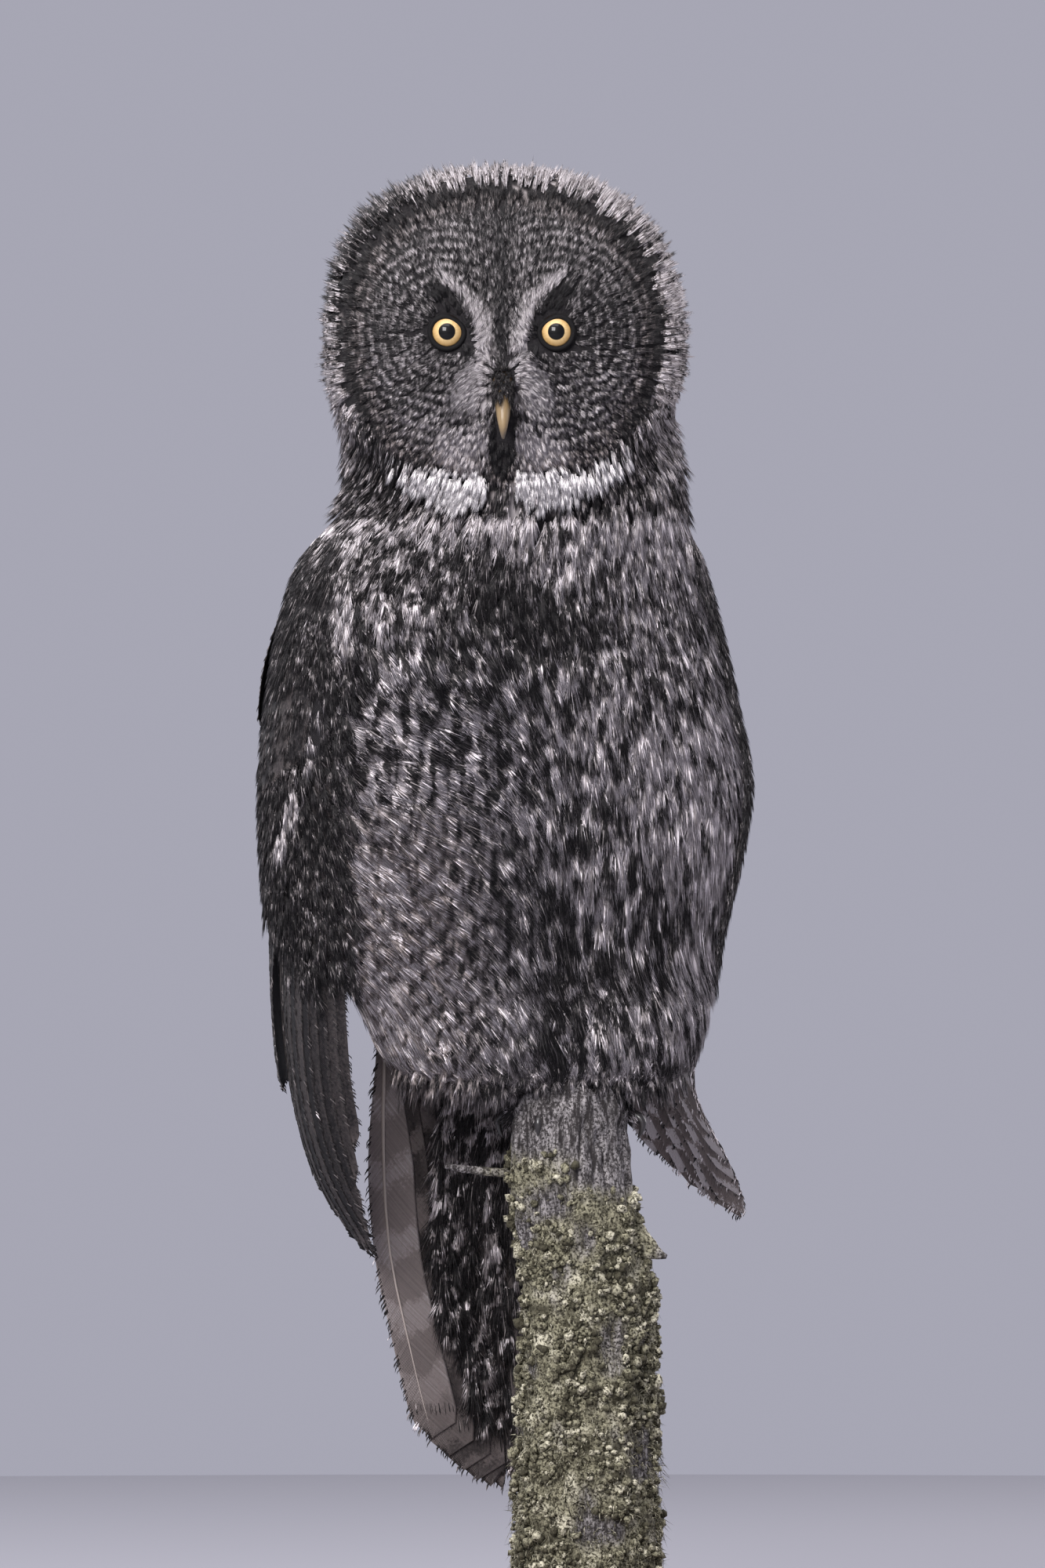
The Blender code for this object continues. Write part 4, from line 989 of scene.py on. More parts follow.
def coat(name, spots, length, half_width, barbs, depth, rise, paint, seed, rings=1, barb_width=0.8,
         way=lie, surface=on_surface, start=surface_at, ragged=0.28, finish=coat_material, loose=0.06,
         gather=0.0):
    """Feathers rooted at spots. Each station follows the lie one step; barbs fan out from that line, lift
    from `depth` below the outer surface at the root to `rise` above it at the tip, and taper to a point.
    paint(p) gives the marking at each barb; sizes may be numbers or one per feather. Gather draws the
    barbs of a feather together at its tip."""
    rng = np.random.default_rng(seed)
    count = len(spots)
    length = np.broadcast_to(length, count) * rng.uniform(0.85, 1.15, count)
    half_width = np.broadcast_to(half_width, count) * rng.uniform(0.85, 1.15, count)
    p, n = start(spots[:, 0], spots[:, 1])
    line, normals, ways = [p], [n], []
    for _ in range(STATIONS - 1):
        d = way(line[-1], normals[-1])
        ways.append(d)
        p, n = surface(line[-1] + d * (length / (STATIONS - 1))[:, None])
        line.append(p)
        normals.append(n)
    ways.append(ways[-1])
    line, normals, ways = (np.stack(a, 1) for a in (line, normals, ways))
    sides = unit(np.cross(normals, ways))
    across = (np.arange(barbs) + 0.5 + rng.uniform(-0.5, 0.5, (count, barbs))) / barbs * 2 - 1
    ends = 1.0 - 0.38 * np.abs(across) ** 2.0 - ragged * rng.uniform(0, 1, (count, barbs))
    starts = ends * rng.uniform(0.02, 0.55, (count, barbs))
    t = np.linspace(0, 1, rings + 1)
    along = starts[..., None] + (ends - starts)[..., None] * t
    spread = across[..., None] * (0.3 + 0.7 * t**0.7) * (1 - gather * t)
    spread = spread + rng.normal(0, loose, (count, barbs, 1)) * t
    where = along * (STATIONS - 1)
    i = np.clip(where.astype(int), 0, STATIONS - 2)
    f = (where - i)[..., None]
    feather = np.arange(count)[:, None, None]
    middle = line[feather, i] * (1 - f) + line[feather, i + 1] * f
    normal = unit(normals[feather, i] * (1 - f) + normals[feather, i + 1] * f)
    side = sides[feather, i] * (1 - f) + sides[feather, i + 1] * f
    layer = rng.uniform(-0.5, 0.5, (count, barbs, 1))
    depth, rise = np.broadcast_to(depth, count)[:, None, None], np.broadcast_to(rise, count)[:, None, None]
    lift = -depth * (1 - along) ** 1.2 + rise * (along**1.5) + layer * (0.5 + 0.4 * rise)
    lift = lift - 0.12 * half_width[:, None, None] * spread**2
    middle = middle + side * (spread * half_width[:, None, None])[..., None]
    light, bars, shaft, warmth, contrast = paint(middle[:, :, -1:] * 0.6 + middle[:, :, :1] * 0.4)
    eye = np.minimum(*(np.hypot(middle[..., 0] - DISC_X - s * EYE_APART / 2, middle[..., 2]
                                - EYE_Z) for s in (-1, 1)))
    ring_strength = face_rings(middle[:, :, :1]) + 0 * along
    bar_place = middle[..., 0] * FLANK_BARS[0] - middle[..., 2] * FLANK_BARS[1]
    middle = middle + normal * lift[..., None]
    taper = np.interp(t[:-1], (0.0, 0.35, 1.0), (0.75 if rings > 1 else 1.0, 1.0, 0.45))
    width = barb_width * rng.uniform(0.65, 1.35, (count, barbs, 1)) * taper
    shape = (-1, rings + 1, 3)
    corners = spikes(middle.reshape(shape), normal.reshape(shape), width.reshape(-1, rings))

    def to_corners(a):
        """One value for each ring and the tip, repeated for the three corners of a ring."""
        return np.repeat(a.reshape(-1, rings + 1, *a.shape[3:]), [3] * rings + [1], axis=1)

    own = rng.uniform(0, 1, count)[:, None, None]
    tint = rng.uniform(0, 1, (count, barbs, 1))
    stored = {"feather": (along, spread, own), "marking": (light, bars, shaft), "barb": (tint, warmth,
                                                                                         contrast),
              "rings": (eye, ring_strength, bar_place)}
    attributes = {key: to_corners(np.stack([a + 0 * along for a in parts], -1)).reshape(-1, 3)
                  for key, parts in stored.items()}
    patch = to_corners(np.stack([np.clip(spread, -1, 1), along - 0.5], -1))
    root = np.repeat(bake_place(spots[:, 0], spots[:, 1]), barbs, axis=0)[:, None]
    uv = (root + patch * np.array((PATCH / 2, PATCH))).reshape(-1, 2)
    made = piece(name, corners, spike_faces(count * barbs, rings), finish, attributes, uv)
    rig.ride(made, "root")
    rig.slot(made, "body_feathers")
    print(f"{name}: {count} feathers, {count * barbs} barbs, {triangles(made)} triangles")
    return made


def face_rings(p):
    """How strong the rings of the disc are at a point; none outside the disc."""
    _, share = disc_share(p[..., 0], p[..., 2])
    _, rings, _ = face_light(p)
    return rings * (share < 1.0) * (p[..., 1] < 0.0) * (p[..., 2] > 612.0)


def face_paint(p):
    """Fine speckle with the face's strokes."""
    light, _, warmth = face_light(p)
    return light, 0 * light, 0 * light + 0.2, warmth, 0 * light + 0.9


def body_paint(p):
    """Brushed mottle, with the white patches and the black chin where they hang over the throat."""
    light, bars, shaft, warmth = body_light(p, None)
    return *under_disc(p, light), bars, shaft, warmth, 0 * light + 1.0


def under_disc(p, light):
    """Adds the white patches and the black chin."""
    white = bow_ties(p)
    chin = stroke(np.abs(p[..., 0] - DISC_X), p[..., 2], CHIN, 0.5) * (p[..., 1] < 12.0)
    light = light * (1 - chin) - 0.5 * chin
    return (light * (1 - white) + 1.9 * white,)


def head_paint(p):
    """Crown, nape and cheeks: charcoal tufts with pale flecks, paler on the crown and the far side."""
    x, z = p[..., 0], p[..., 2]
    light = 0.40 + 0.34 * bell(z, 776.0, 16.0) + 0.10 * bell(x, -20.0, 30.0) * bell(z, 768.0, 16.0)
    light = light + 0.26 * bell(x, 44.0, 12.0) * bell(z, 690.0, 60.0)
    light = light + 0.30 * bell(x, -130.0, 9.0) * bell(z, 662.0, 22.0) + 0.2 * (noise(p, 14.0, 6) - 0.5)
    light = light - 0.3 * bell(x, -100.0, 22.0) * bell(z, 768.0, 16.0)
    _, share = disc_share(x, z)
    light = light - 0.55 * bell(share, 0.99, 0.014) * (p[..., 1] < 5.0) * ramp(z, 640.0, 665.0)
    return *under_disc(p, light), 0 * light, 0 * light + 0.2, 0 * light + 0.25, 0 * light + 1.0


print("coat maker ready")

# %% The skin
SKIN_DEPTH_BODY, SKIN_DEPTH_HEAD, SKIN_DEPTH_FACE = 7.0, 5.0, 2.6


def on_face(p, n=None):
    """Inside the disc's rim, on the front of the head."""
    _, share = disc_share(p[..., 0], p[..., 2])
    return (share < 0.985) & (p[..., 1] < 0.0) & (p[..., 2] > 616.0)


def wing_room(angle, z):
    """How far the body is set in under a folded wing."""
    turned = np.abs((angle + math.pi) % (2 * math.pi) - math.pi)
    under = ramp(turned, WING_FRONT - 0.05, WING_FRONT + 0.12)
    back = ramp(turned, WING_BACK + 0.02, WING_BACK + 0.16)
    return (WING_DEPTH * under * (1 - back) + BACK_SET_IN * back) * ramp(z, WING_TOP, WING_TOP - 16.0)


_, angle = body_share(outer_points[..., 0], outer_points[..., 1], outer_points[..., 2], SECTIONS)
face = on_face(outer_points)
set_in = np.where(face, SKIN_DEPTH_FACE, SKIN_DEPTH_HEAD + (SKIN_DEPTH_BODY - SKIN_DEPTH_HEAD)
                  * ramp(v_grid, 640.0, 590.0))
set_in = soften(set_in + wing_room(angle, outer_points[..., 2]), 1.5, 1.5)
skin_points = (outer_points - normal_table * set_in[..., None])[::2, ::2]
face, skin_u, skin_v = face[::2, ::2], u_grid[::2, ::2], v_grid[::2, ::2]
SKIN_ROWS, SKIN_TURNS = skin_points.shape[:2]
poles = skin_points[[0, -1]].mean(1)
faces = grid_faces(SKIN_ROWS, SKIN_TURNS, closed=True)[:, ::-1]
first, last = np.arange(SKIN_TURNS), (SKIN_ROWS - 1) * SKIN_TURNS + np.arange(SKIN_TURNS)
count = SKIN_ROWS * SKIN_TURNS
low_cap = np.stack([np.full(SKIN_TURNS, count), np.roll(first, -1), first], -1)
high_cap = np.stack([np.full(SKIN_TURNS, count + 1), last, np.roll(last, -1)], -1)
points = np.concatenate([skin_points.reshape(-1, 3), poles])
face_l, _, face_w = face_light(points)
body_l, _, _, body_w = body_light(points, None)
flat = np.append(face.ravel(), [False, False])
light = np.where(flat, face_l - 0.2, body_l - 0.35)
ones = np.ones(len(points))
attributes = {
    "feather": np.stack([0.5 * ones, 0.5 * ones, noise(points, 8.0, 2)], -1),
    "marking": np.stack([light, 0.3 * ones, 0.0 * ones], -1),
    "barb": np.stack([0.5 * ones, np.where(flat, face_w, body_w), 0.5 * ones], -1),
}
address_uv = bake_place(skin_u.ravel(), skin_v.ravel())
address_uv = np.concatenate([address_uv, [[0.5, 0.02], [0.5, 0.98]]])
corner_uv = np.concatenate([address_uv[low_cap].reshape(-1, 2), address_uv[high_cap].reshape(-1, 2),
                            address_uv[faces].reshape(-1, 2)])
corners = np.concatenate([low_cap.ravel(), high_cap.ravel(), faces.ravel()])
seam = np.isin(corners % SKIN_TURNS, [0]) & (corners < count)
polygon_of = np.concatenate([np.repeat(np.arange(2 * SKIN_TURNS), 3),
                             np.repeat(2 * SKIN_TURNS + np.arange(len(faces)), 4)])
reach = np.zeros(polygon_of.max() + 1)
np.maximum.at(reach, polygon_of, corner_uv[:, 0])
corner_uv[:, 0] = np.where(seam & (reach[polygon_of] > 0.9), 0.98, corner_uv[:, 0])
skin = piece("skin", points, [low_cap, high_cap, faces], skin_material, attributes, corner_uv)
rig.ride(skin, "root")
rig.slot(skin, "body_feathers")
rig.replaces(skin, "head", "facial_disc", "neck", "torso")
print("skin", triangles(skin), "triangles")

# %% [markdown]
# ## The coat
# Feathers are smallest on the face and largest on the belly. Each stretch of the coat is one call with its
# own spacing, length, width and number of barbs.

# %% Face


NECK_LINE, THROAT_LINE, BELLY_LINE, FLANK_EDGE = 606.0, 540.0, 455.0, -35.0
FRONT_ANGLE, BACK_ANGLE = math.radians(76.0), math.radians(140.0)


def head_only(p, n):
    return ~on_face(p) & (p[..., 2] > NECK_LINE)


def near_eye(p, reach):
    """Within reach of an eye's middle, seen from the front."""
    aside = np.abs(p[..., 0] - DISC_X)
    return np.hypot(aside - EYE_APART / 2, p[..., 2] - EYE_Z) < reach


def near_bill(p):
    return (np.abs(p[..., 0] - BILL_X) < 5.0) & (p[..., 2] < 664.0) & (p[..., 2] > 640.0)


def in_strokes(p, n):
    """On a brow or a moustache."""
    aside = np.abs(p[..., 0] - DISC_X)
    on = np.maximum(stroke(aside, p[..., 2], BROW, 0.2), stroke(aside, p[..., 2], MOUSTACHE, 0.2))
    return on_face(p) & (on > 0.5) & ~near_bill(p) & ~near_eye(p, 11.0)


def brow_paint(p):
    light, _, warmth = face_light(p)
    return np.maximum(light, 0.42) + 0.04, 0 * light, 0 * light, 0.5 * warmth, 0 * light + 0.9


def bow_paint(p):
    """White to the tips."""
    one = 1.0 + 0 * p[..., 0]
    return 1.9 * one, 0 * one, 0 * one, 0 * one, 0.12 * one


coat("coat_face", scatter(lambda p, n: on_face(p) & ~near_eye(p, 9.0) & ~near_bill(p), 4.0, 1),
     8.6, 2.4, 31, 2.4, 0.5, face_paint, 1, barb_width=0.5, finish=face_material)

# Finer, longer hairs draw the brows and the moustaches, and a dense white coat the patches under the chin
coat("coat_brows", scatter(in_strokes, 3.0, 8), 10.0, 2.2, 16, 1.6, 0.9, brow_paint, 8, barb_width=0.4,
     finish=face_material)
coat("coat_bow_ties", scatter(lambda p, n: bow_ties(p) > 0.5, 3.0, 9), 11.0, 2.2, 26, 2.4, 2.8, bow_paint, 9,
     barb_width=0.7, finish=white_material)

# %% Head
head_spots = scatter(lambda p, n: head_only(p, n) & (p[..., 1] < 45.0), 5.3, 2)
head_roots, _ = surface_at(head_spots[:, 0], head_spots[:, 1])
from_top = np.arctan2(head_roots[:, 0] - HEAD_X, head_roots[:, 2] - HEAD_Z)
CORNER_RISE = 7.0 * bell(from_top, -0.78, 0.30) + 4.0 * bell(from_top, 0.72, 0.26)
TUFT_RISE = 0.6 + 4.4 * np.random.default_rng(22).uniform(0, 1, len(head_spots)) ** 2 + CORNER_RISE
coat("coat_head", head_spots,
     15.0, 3.4, 25, 4.0, TUFT_RISE, head_paint, 2, barb_width=0.65, finish=head_material, loose=0.14,
     gather=0.55)
coat("coat_nape", scatter(lambda p, n: head_only(p, n) & (p[..., 1] >= 45.0), 7.0, 3),
     19.0, 5.0, 23, 4.0, 1.0, head_paint, 3, barb_width=0.9, finish=head_material)

# %% Breast and belly


def body_angle(p):
    """Angle from the chest, towards the owl's right, of a point on the body."""
    _, angle = body_share(p[..., 0], p[..., 1], p[..., 2], SECTIONS)
    return angle


def front_body(p, n):
    return (p[..., 2] <= NECK_LINE) & (np.abs(body_angle(p)) < FRONT_ANGLE)


def throat(p, n):
    return front_body(p, n) & (p[..., 2] > THROAT_LINE)


def breast(p, n):
    return front_body(p, n) & (p[..., 2] > BELLY_LINE) & (p[..., 2] <= THROAT_LINE)


def flank(p, n):
    return front_body(p, n) & (p[..., 2] <= BELLY_LINE) & (p[..., 0] < FLANK_EDGE)


def belly(p, n):
    return front_body(p, n) & (p[..., 2] <= BELLY_LINE) & (p[..., 0] >= FLANK_EDGE)


def back(p, n):
    return (p[..., 2] <= NECK_LINE) & (np.abs(body_angle(p)) > BACK_ANGLE)


def shoulder(p, n):
    angle = np.abs(body_angle(p))
    return (p[..., 2] <= NECK_LINE) & (p[..., 2] > 500.0) & (angle >= FRONT_ANGLE) & (angle <= BACK_ANGLE)


# name, where, spacing, seed, length, half width, barbs, depth, rise, barb width, finish
TRACTS = (
    ("coat_throat", throat, 6.8, 4, 22.0, 5.6, 44, 5.5, 0.9, 0.8, throat_material),
    ("coat_breast", breast, 7.8, 14, 28.0, 7.0, 60, 6.5, 0.8, 0.85, coat_material),
    ("coat_flank", flank, 8.6, 5, 36.0, 8.5, 70, 6.5, 1.0, 0.9, flank_material),
    ("coat_belly", belly, 8.8, 15, 34.0, 8.5, 70, 6.5, 1.0, 0.9, coat_material),
    ("coat_back", back, 11.0, 6, 38.0, 10.0, 34, 6.0, 0.6, 1.2, coat_material),
    ("coat_shoulder", shoulder, 8.0, 7, 22.0, 6.5, 34, 5.0, 0.8, 1.0, coat_material),
)
for name, inside, spacing, seed, length, half_width, barbs, depth, rise, barb_width, look in TRACTS:
    coat(name, scatter(inside, spacing, seed), length, half_width, barbs, depth, rise, body_paint, seed,
         barb_width=barb_width, finish=look)

# %% [markdown]
# ## The hem of the belly
# Where the belly ends it hangs in loose strands over the feet and the broken top of the stem.

# %% Hem
HEM_LOW, HEM_HIGH, HEM_BACK, HEM_LEFT = 292.0, 312.0, 60.0, -112.0


def hem_paint(p):
    light, bars, shaft, warmth = body_light(p, None)
    return 0.22 + 0.25 * light, 0 * bars, 0 * shaft, warmth, 0 * light + 0.6


def hem_way(p, n):
    """Straight down, a little outwards."""
    return unit(np.array((0.0, 0.0, -1.0)) + 0.12 * n * np.array((1.0, 1.0, 0.0)))


def at_hem(p, n):
    return (p[..., 2] > HEM_LOW) & (p[..., 2] < HEM_HIGH) & (p[..., 1] < HEM_BACK) & (p[..., 0] > HEM_LEFT)


hem_spots = scatter(at_hem, 6.4, 18)
hem_start, hem_out = surface_at(hem_spots[:, 0], hem_spots[:, 1])
hem_out = unit(hem_out * np.array((1.0, 1.0, 0.3)))
hem_long = 13.0 + 9.0 * noise(hem_start, 12.0, 19) - 9.0 * bell(hem_start[:, 0], -18.0, 20.0)
hem_start = hem_start - 3.5 * hem_out
coat("coat_hem", hem_spots, hem_long, 4.4, 30, 3.0, -0.4, hem_paint, 19, way=hem_way,
     surface=lambda p: (p, hem_out), start=lambda u, v: (hem_start, hem_out), barb_width=0.75, ragged=0.5,
     loose=0.2, finish=flank_material)

# %% [markdown]
# ## Eyes, lids and bill
# An owl's eye is a tube that cannot turn, so both look straight ahead. In a mount it is a painted glass
# button: a black pupil, a golden iris with fine spokes and a dark rim, under a clear gloss. Here the paint is
# in the base colour, by the distance from the eye's axis, and the gloss is the shader's coat.

# %% Eyes and lids
PUPIL_RADIUS, IRIS_RADIUS = 4.4, 8.0


def turned(name, profile, finish, centre, axis="z", sides=64, attributes=None, uv=True):
    """A shape turned on a lathe: profile rows are (radius, height), joined round the axis and closed at both
    ends by a point where the radius is 0. axis y turns the height towards the viewer."""
    radii, heights = np.asarray(profile, float).T
    turn = np.arange(sides) * 2 * math.pi / sides
    ring = np.stack([radii[:, None] * np.cos(turn), radii[:, None] * np.sin(turn), heights[:, None] + 0
                     * turn], -1)
    points = ring[1:-1].reshape(-1, 3)
    count, rows = len(points), len(radii) - 2
    points = np.concatenate([points, [[0, 0, heights[0]], [0, 0, heights[-1]]]])
    first, last = np.arange(sides), (rows - 1) * sides + np.arange(sides)
    low = np.stack([np.full(sides, count), np.roll(first, -1), first], -1)
    high = np.stack([np.full(sides, count + 1), last, np.roll(last, -1)], -1)
    polygons = [low, high, grid_faces(rows, sides, closed=True)[:, ::-1]]
    away = np.concatenate([np.repeat(radii[1:-1], sides), [0, 0]])
    spin = np.concatenate([np.tile(turn, rows), [0, 0]])
    if axis == "y":
        points = np.stack([points[:, 0], -points[:, 2], points[:, 1]], -1)
    stored = {"away": away, "spin": spin}
    made = piece(name, points + np.array(centre), polygons, finish, stored)
    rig.ride(made, "root")
    return made


eye_material, net, shader = finish("painted_eye", 0.4, Coat_Weight=0.45, Coat_Roughness=0.02,
                                   Specular_IOR_Level=0.1)
away, spin = net.attribute("away", "Fac"), net.attribute("spin", "Fac")
spoke = net.node("ShaderNodeTexNoise", {"noise_dimensions": "2D"},
                 Vector=net.node("ShaderNodeCombineXYZ", None, X=net.times(spin, 9.0), Y=net.times(away,
                 0.35)).outputs[0],
                 Scale=1.0, Detail=4.0, Roughness=0.7).outputs["Fac"]
gold = net.blend(net.step(away, PUPIL_RADIUS, IRIS_RADIUS - 0.5), (0.70, 0.50, 0.24), (0.50, 0.31, 0.12))
gold = net.blend(net.times(net.step(spoke, 0.45, 0.75), 0.45), gold, (0.34, 0.19, 0.04))
dark_rim = net.step(net.plus(away, net.times(spoke, 0.5)), IRIS_RADIUS - 0.75, IRIS_RADIUS + 0.15)
painted = net.blend(dark_rim, gold, (0.012, 0.008, 0.006))
painted = net.blend(net.step(away, PUPIL_RADIUS - 0.15, PUPIL_RADIUS + 0.15), (0.002, 0.002, 0.002), painted)
net.tree.links.new(painted, shader.inputs["Base Color"])
bare_material, net, shader = finish("bare_lid_skin", 0.75, Specular_IOR_Level=0.15)
fold = net.cloud(net.place(), 1400.0, 3.0)
net.tree.links.new(net.blend(fold, (0.004, 0.0036, 0.004), (0.011, 0.010, 0.0105)),
                   shader.inputs["Base Color"])
bumped(net, shader, fold, 0.0003)

polar = np.linspace(math.pi, 0, 34)
bulge = 0.7 * bell(EYE_RADIUS * np.sin(polar), 0.0, 4.6) * (np.cos(polar) > 0)
eye_profile = np.stack([EYE_RADIUS * np.sin(polar), (EYE_RADIUS + bulge) * np.cos(polar)], -1)
for side in (1, -1):
    label = "left" if side > 0 else "right"
    centre = (DISC_X + side * EYE_APART / 2, EYE_Y, EYE_Z)
    ball = turned(f"glass_eye_{label}", eye_profile, eye_material, centre, "y")
    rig.replaces(ball, f"eye_{label}")
    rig.slot(ball, "eye")
    turn, round_ = np.meshgrid(np.arange(64) * 2 * math.pi / 64, np.arange(14) * 2 * math.pi / 14)
    hood = 0.9 * np.maximum(np.sin(turn), 0) ** 2 + 1.5 * bell(turn, math.pi / 2 + side * 0.65, 0.42)
    tube_radius = 1.35 + 0.35 * np.maximum(np.sin(turn), 0)
    radius = 8.9 - hood + tube_radius * np.cos(round_)
    ring = np.stack([centre[0] + radius * np.cos(turn), centre[1] - 6.9 + tube_radius * np.sin(round_),
                     centre[2] + radius * np.sin(turn)], -1)
    around = grid_faces(15, 64, closed=True) % (14 * 64)
    lid = piece(f"lid_{label}", ring, [around], bare_material)
    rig.ride(lid, "root")
    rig.replaces(lid, f"eyelid_{label}")
    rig.slot(lid, "lid_skin")

# %% Bill
BILL_PATH = ((-33.0, 669.0), (-43.0, 668.0), (-51.0, 662.0), (-56.5, 653.5), (-58.5, 645.0), (-57.5, 639.5))
BILL_RADII = (7.0, 6.8, 5.9, 4.5, 2.6, 0.8)
LOWER_BILL_PATH = ((-33.0, 655.0), (-42.0, 652.5), (-48.0, 648.5), (-52.5, 643.5))
LOWER_BILL_RADII = (5.0, 4.4, 3.3, 1.1)
BILL_FLATNESS = 0.82


def fine_path(path, rows):
    """A smooth line through a few points, in `rows` points evenly along it."""
    path = np.asarray(path, float)
    travel = np.concatenate([[0], np.cumsum(np.linalg.norm(np.diff(path, axis=0), axis=1))])
    at = np.linspace(0, travel[-1], rows)
    return np.stack([smooth(at, travel, path[:, k]) for k in range(path.shape[1])], -1), at / travel[-1]


def tube(path, radii, sides, rows, flat=1.0, across=(1.0, 0.0, 0.0)):
    """Points (rows, sides, 3) of a tapered tube along a smooth path, oval across, with its share along."""
    both, share = fine_path(np.concatenate([np.asarray(path, float), np.asarray(radii, float)[:, None]], 1),
                            rows)
    line, radius = both[:, :3], both[:, 3]
    forward = unit(np.gradient(line, axis=0))
    side = unit(np.asarray(across) - forward * (forward @ np.asarray(across))[:, None])
    up = np.cross(forward, side)
    turn = np.arange(sides) * 2 * math.pi / sides
    ring = flat * side[:, None] * np.cos(turn)[None, :, None] + up[:, None] * np.sin(turn)[None, :, None]
    return line[:, None] + radius[:, None, None] * ring, share, ring


def tube_faces(rows, sides):
    """Walls and end caps of such a tube."""
    walls = grid_faces(rows, sides, closed=True)[:, ::-1]
    caps = np.array([[0, *range(sides - 1, 0, -1)], [(rows - 1) * sides + k for k in range(sides)]])
    return [walls, caps]


horn_material, net, shader = finish("bill_horn", 0.42, Coat_Weight=0.25, Coat_Roughness=0.3)
share = net.attribute("share", "Fac")
streaks = net.cloud(net.stretched(net.place(), (900.0, 900.0, 160.0)), 1.0, 3.0, 0.6)
horn = net.blend(net.step(share, 0.3, 0.75), (0.17, 0.105, 0.045), (0.26, 0.18, 0.09))
horn = net.blend(net.step(share, 0.82, 1.0), horn, (0.09, 0.075, 0.06))
horn = net.blend(net.times(net.step(streaks, 0.45, 0.7), 0.4), horn, (0.19, 0.12, 0.05))
net.tree.links.new(horn, shader.inputs["Base Color"])
bumped(net, shader, streaks, 0.0003)
for name, path, radii, node in (("upper_bill", BILL_PATH, BILL_RADII, "bill_upper"),
                                ("lower_bill", LOWER_BILL_PATH, LOWER_BILL_RADII, "bill_lower")):
    points, share, _ = tube([(BILL_X, y, z) for y, z in path], radii, 36, 40, BILL_FLATNESS)
    made = piece(name, points, tube_faces(40, 36), horn_material, {"share": np.repeat(share, 36)})
    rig.ride(made, "root")
    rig.replaces(made, node)
    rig.slot(made, "bill_horn")
print("eyes, lids and bill ready")

# %% Bristles over the root of the bill
# Stiff dark bristles sweep forward over the bill from both sides, so only its lower half shows.


def bristle_paint(p):
    aside = np.abs(p[..., 0] - BILL_X)
    light = 0.08 + 0.6 * ramp(aside, 4.5, 10.0) * ramp(p[..., 2], 650.0, 668.0)
    return light, 0 * light, 0 * light, 0 * light + 0.2, 0 * light + 0.9


rng = np.random.default_rng(33)
BRISTLES = 190
turn = rng.uniform(-0.15, math.pi + 0.15, BRISTLES)
at = rng.uniform(0.0, 0.60, BRISTLES)
grid, share, ring = tube([(BILL_X, y, z) for y, z in BILL_PATH], BILL_RADII, 36, 40, BILL_FLATNESS)
row, column = (at * 39).astype(int), (turn / (2 * math.pi) * 36).astype(int) % 36
line = grid.mean(1)
way_down = unit(np.gradient(line, axis=0))[row]
out = unit(ring[row, column])
roots = grid[row, column] + out * 0.6 - way_down * 2.0


def over_bill(p, n):
    """Down along the bill, closing in on its middle line."""
    toward = np.array((BILL_X, 0.0, 0.0)) - p * np.array((1.0, 0.0, 0.0))
    return unit(way_down + 0.03 * toward + 0.12 * out)


coat("bill_bristles", np.stack(address(roots), -1), 10.5, 1.6, 12, 0.4, 1.0, bristle_paint, 34, way=over_bill,
     surface=lambda p, out=out: (p, out), start=lambda u, v, roots=roots, out=out: (roots, out),
     barb_width=0.5,
     finish=face_material)

# %% [markdown]
# ## Flight feathers
# A flight feather is a stiff shaft with a flat web on each side, and each web is a row of barbs that hook
# together. Folded, the feathers of a wing lie like a closed fan: each covers the back web of its neighbour.
# The solids hold that fan as numbered families, and here the same families get more feathers, more rows,
# a raised shaft and a frayed margin. A web is a closed sheet between two grids, thin at its edges.

# %% Sizes of the wing's rows, as in the solids
FAR_SWING, SWING_TOP, SWING_LOW, FAR_SHORTER = 57.0, 304.0, 230.0, 20.0
VANE_STEP = 1.5
# how many there, root height, first angle and step, lower height, first angle and step, front and back web
PRIMARIES = (8, 452.0, 69.0, 3.6, 285.0, 66.5, 6.3, 6.5, 17.0)
SECONDARIES = (8, 462.0, 84.0, 8.8, 350.0, 108.0, 6.2, 8.0, 17.0)
GREATER_COVERTS = (7, 506.0, 70.0, 12.8, 410.0, 72.0, 13.2, 10.0, 22.0)
MEDIAN_COVERTS = (6, 541.0, 72.0, 14.0, 460.0, 73.0, 14.6, 11.0, 24.0)
SCAPULARS = (5, 566.0, 120.0, 8.2, 440.0, 121.0, 9.4, 12.0, 20.0)
PRIMARY_TIPS = (266.0, 243.0, 224.0, 211.0, 208.0, 214.0, 225.0, 243.0)
SECONDARY_TIPS = (296.0, 299.0, 304.0, 311.0, 320.0, 331.0, 343.0, 356.0)
TIER_LIFT = {
    "primaries": ((240.0, -1.0), (300.0, -3.4), (340.0, -5.4), (400.0, -8.8), (440.0, -10.2)),
    "secondaries": ((300.0, 1.6), (340.0, -0.6), (400.0, -4.6), (450.0, -7.0)),
    "greater": ((400.0, -1.4), (450.0, -3.4), (500.0, -5.4)),
    "median": ((460.0, 0.6), (500.0, -1.0), (535.0, -2.6)),
    "scapulars": ((440.0, 3.2), (520.0, 3.0), (545.0, 0.6), (566.0, -3.0)),
}
ARM_LIFT = ((424.0, -11.0), (458.0, -8.6), (500.0, -5.0), (545.0, 0.0), (582.0, -0.5))
WEB_THICKNESS = 0.5


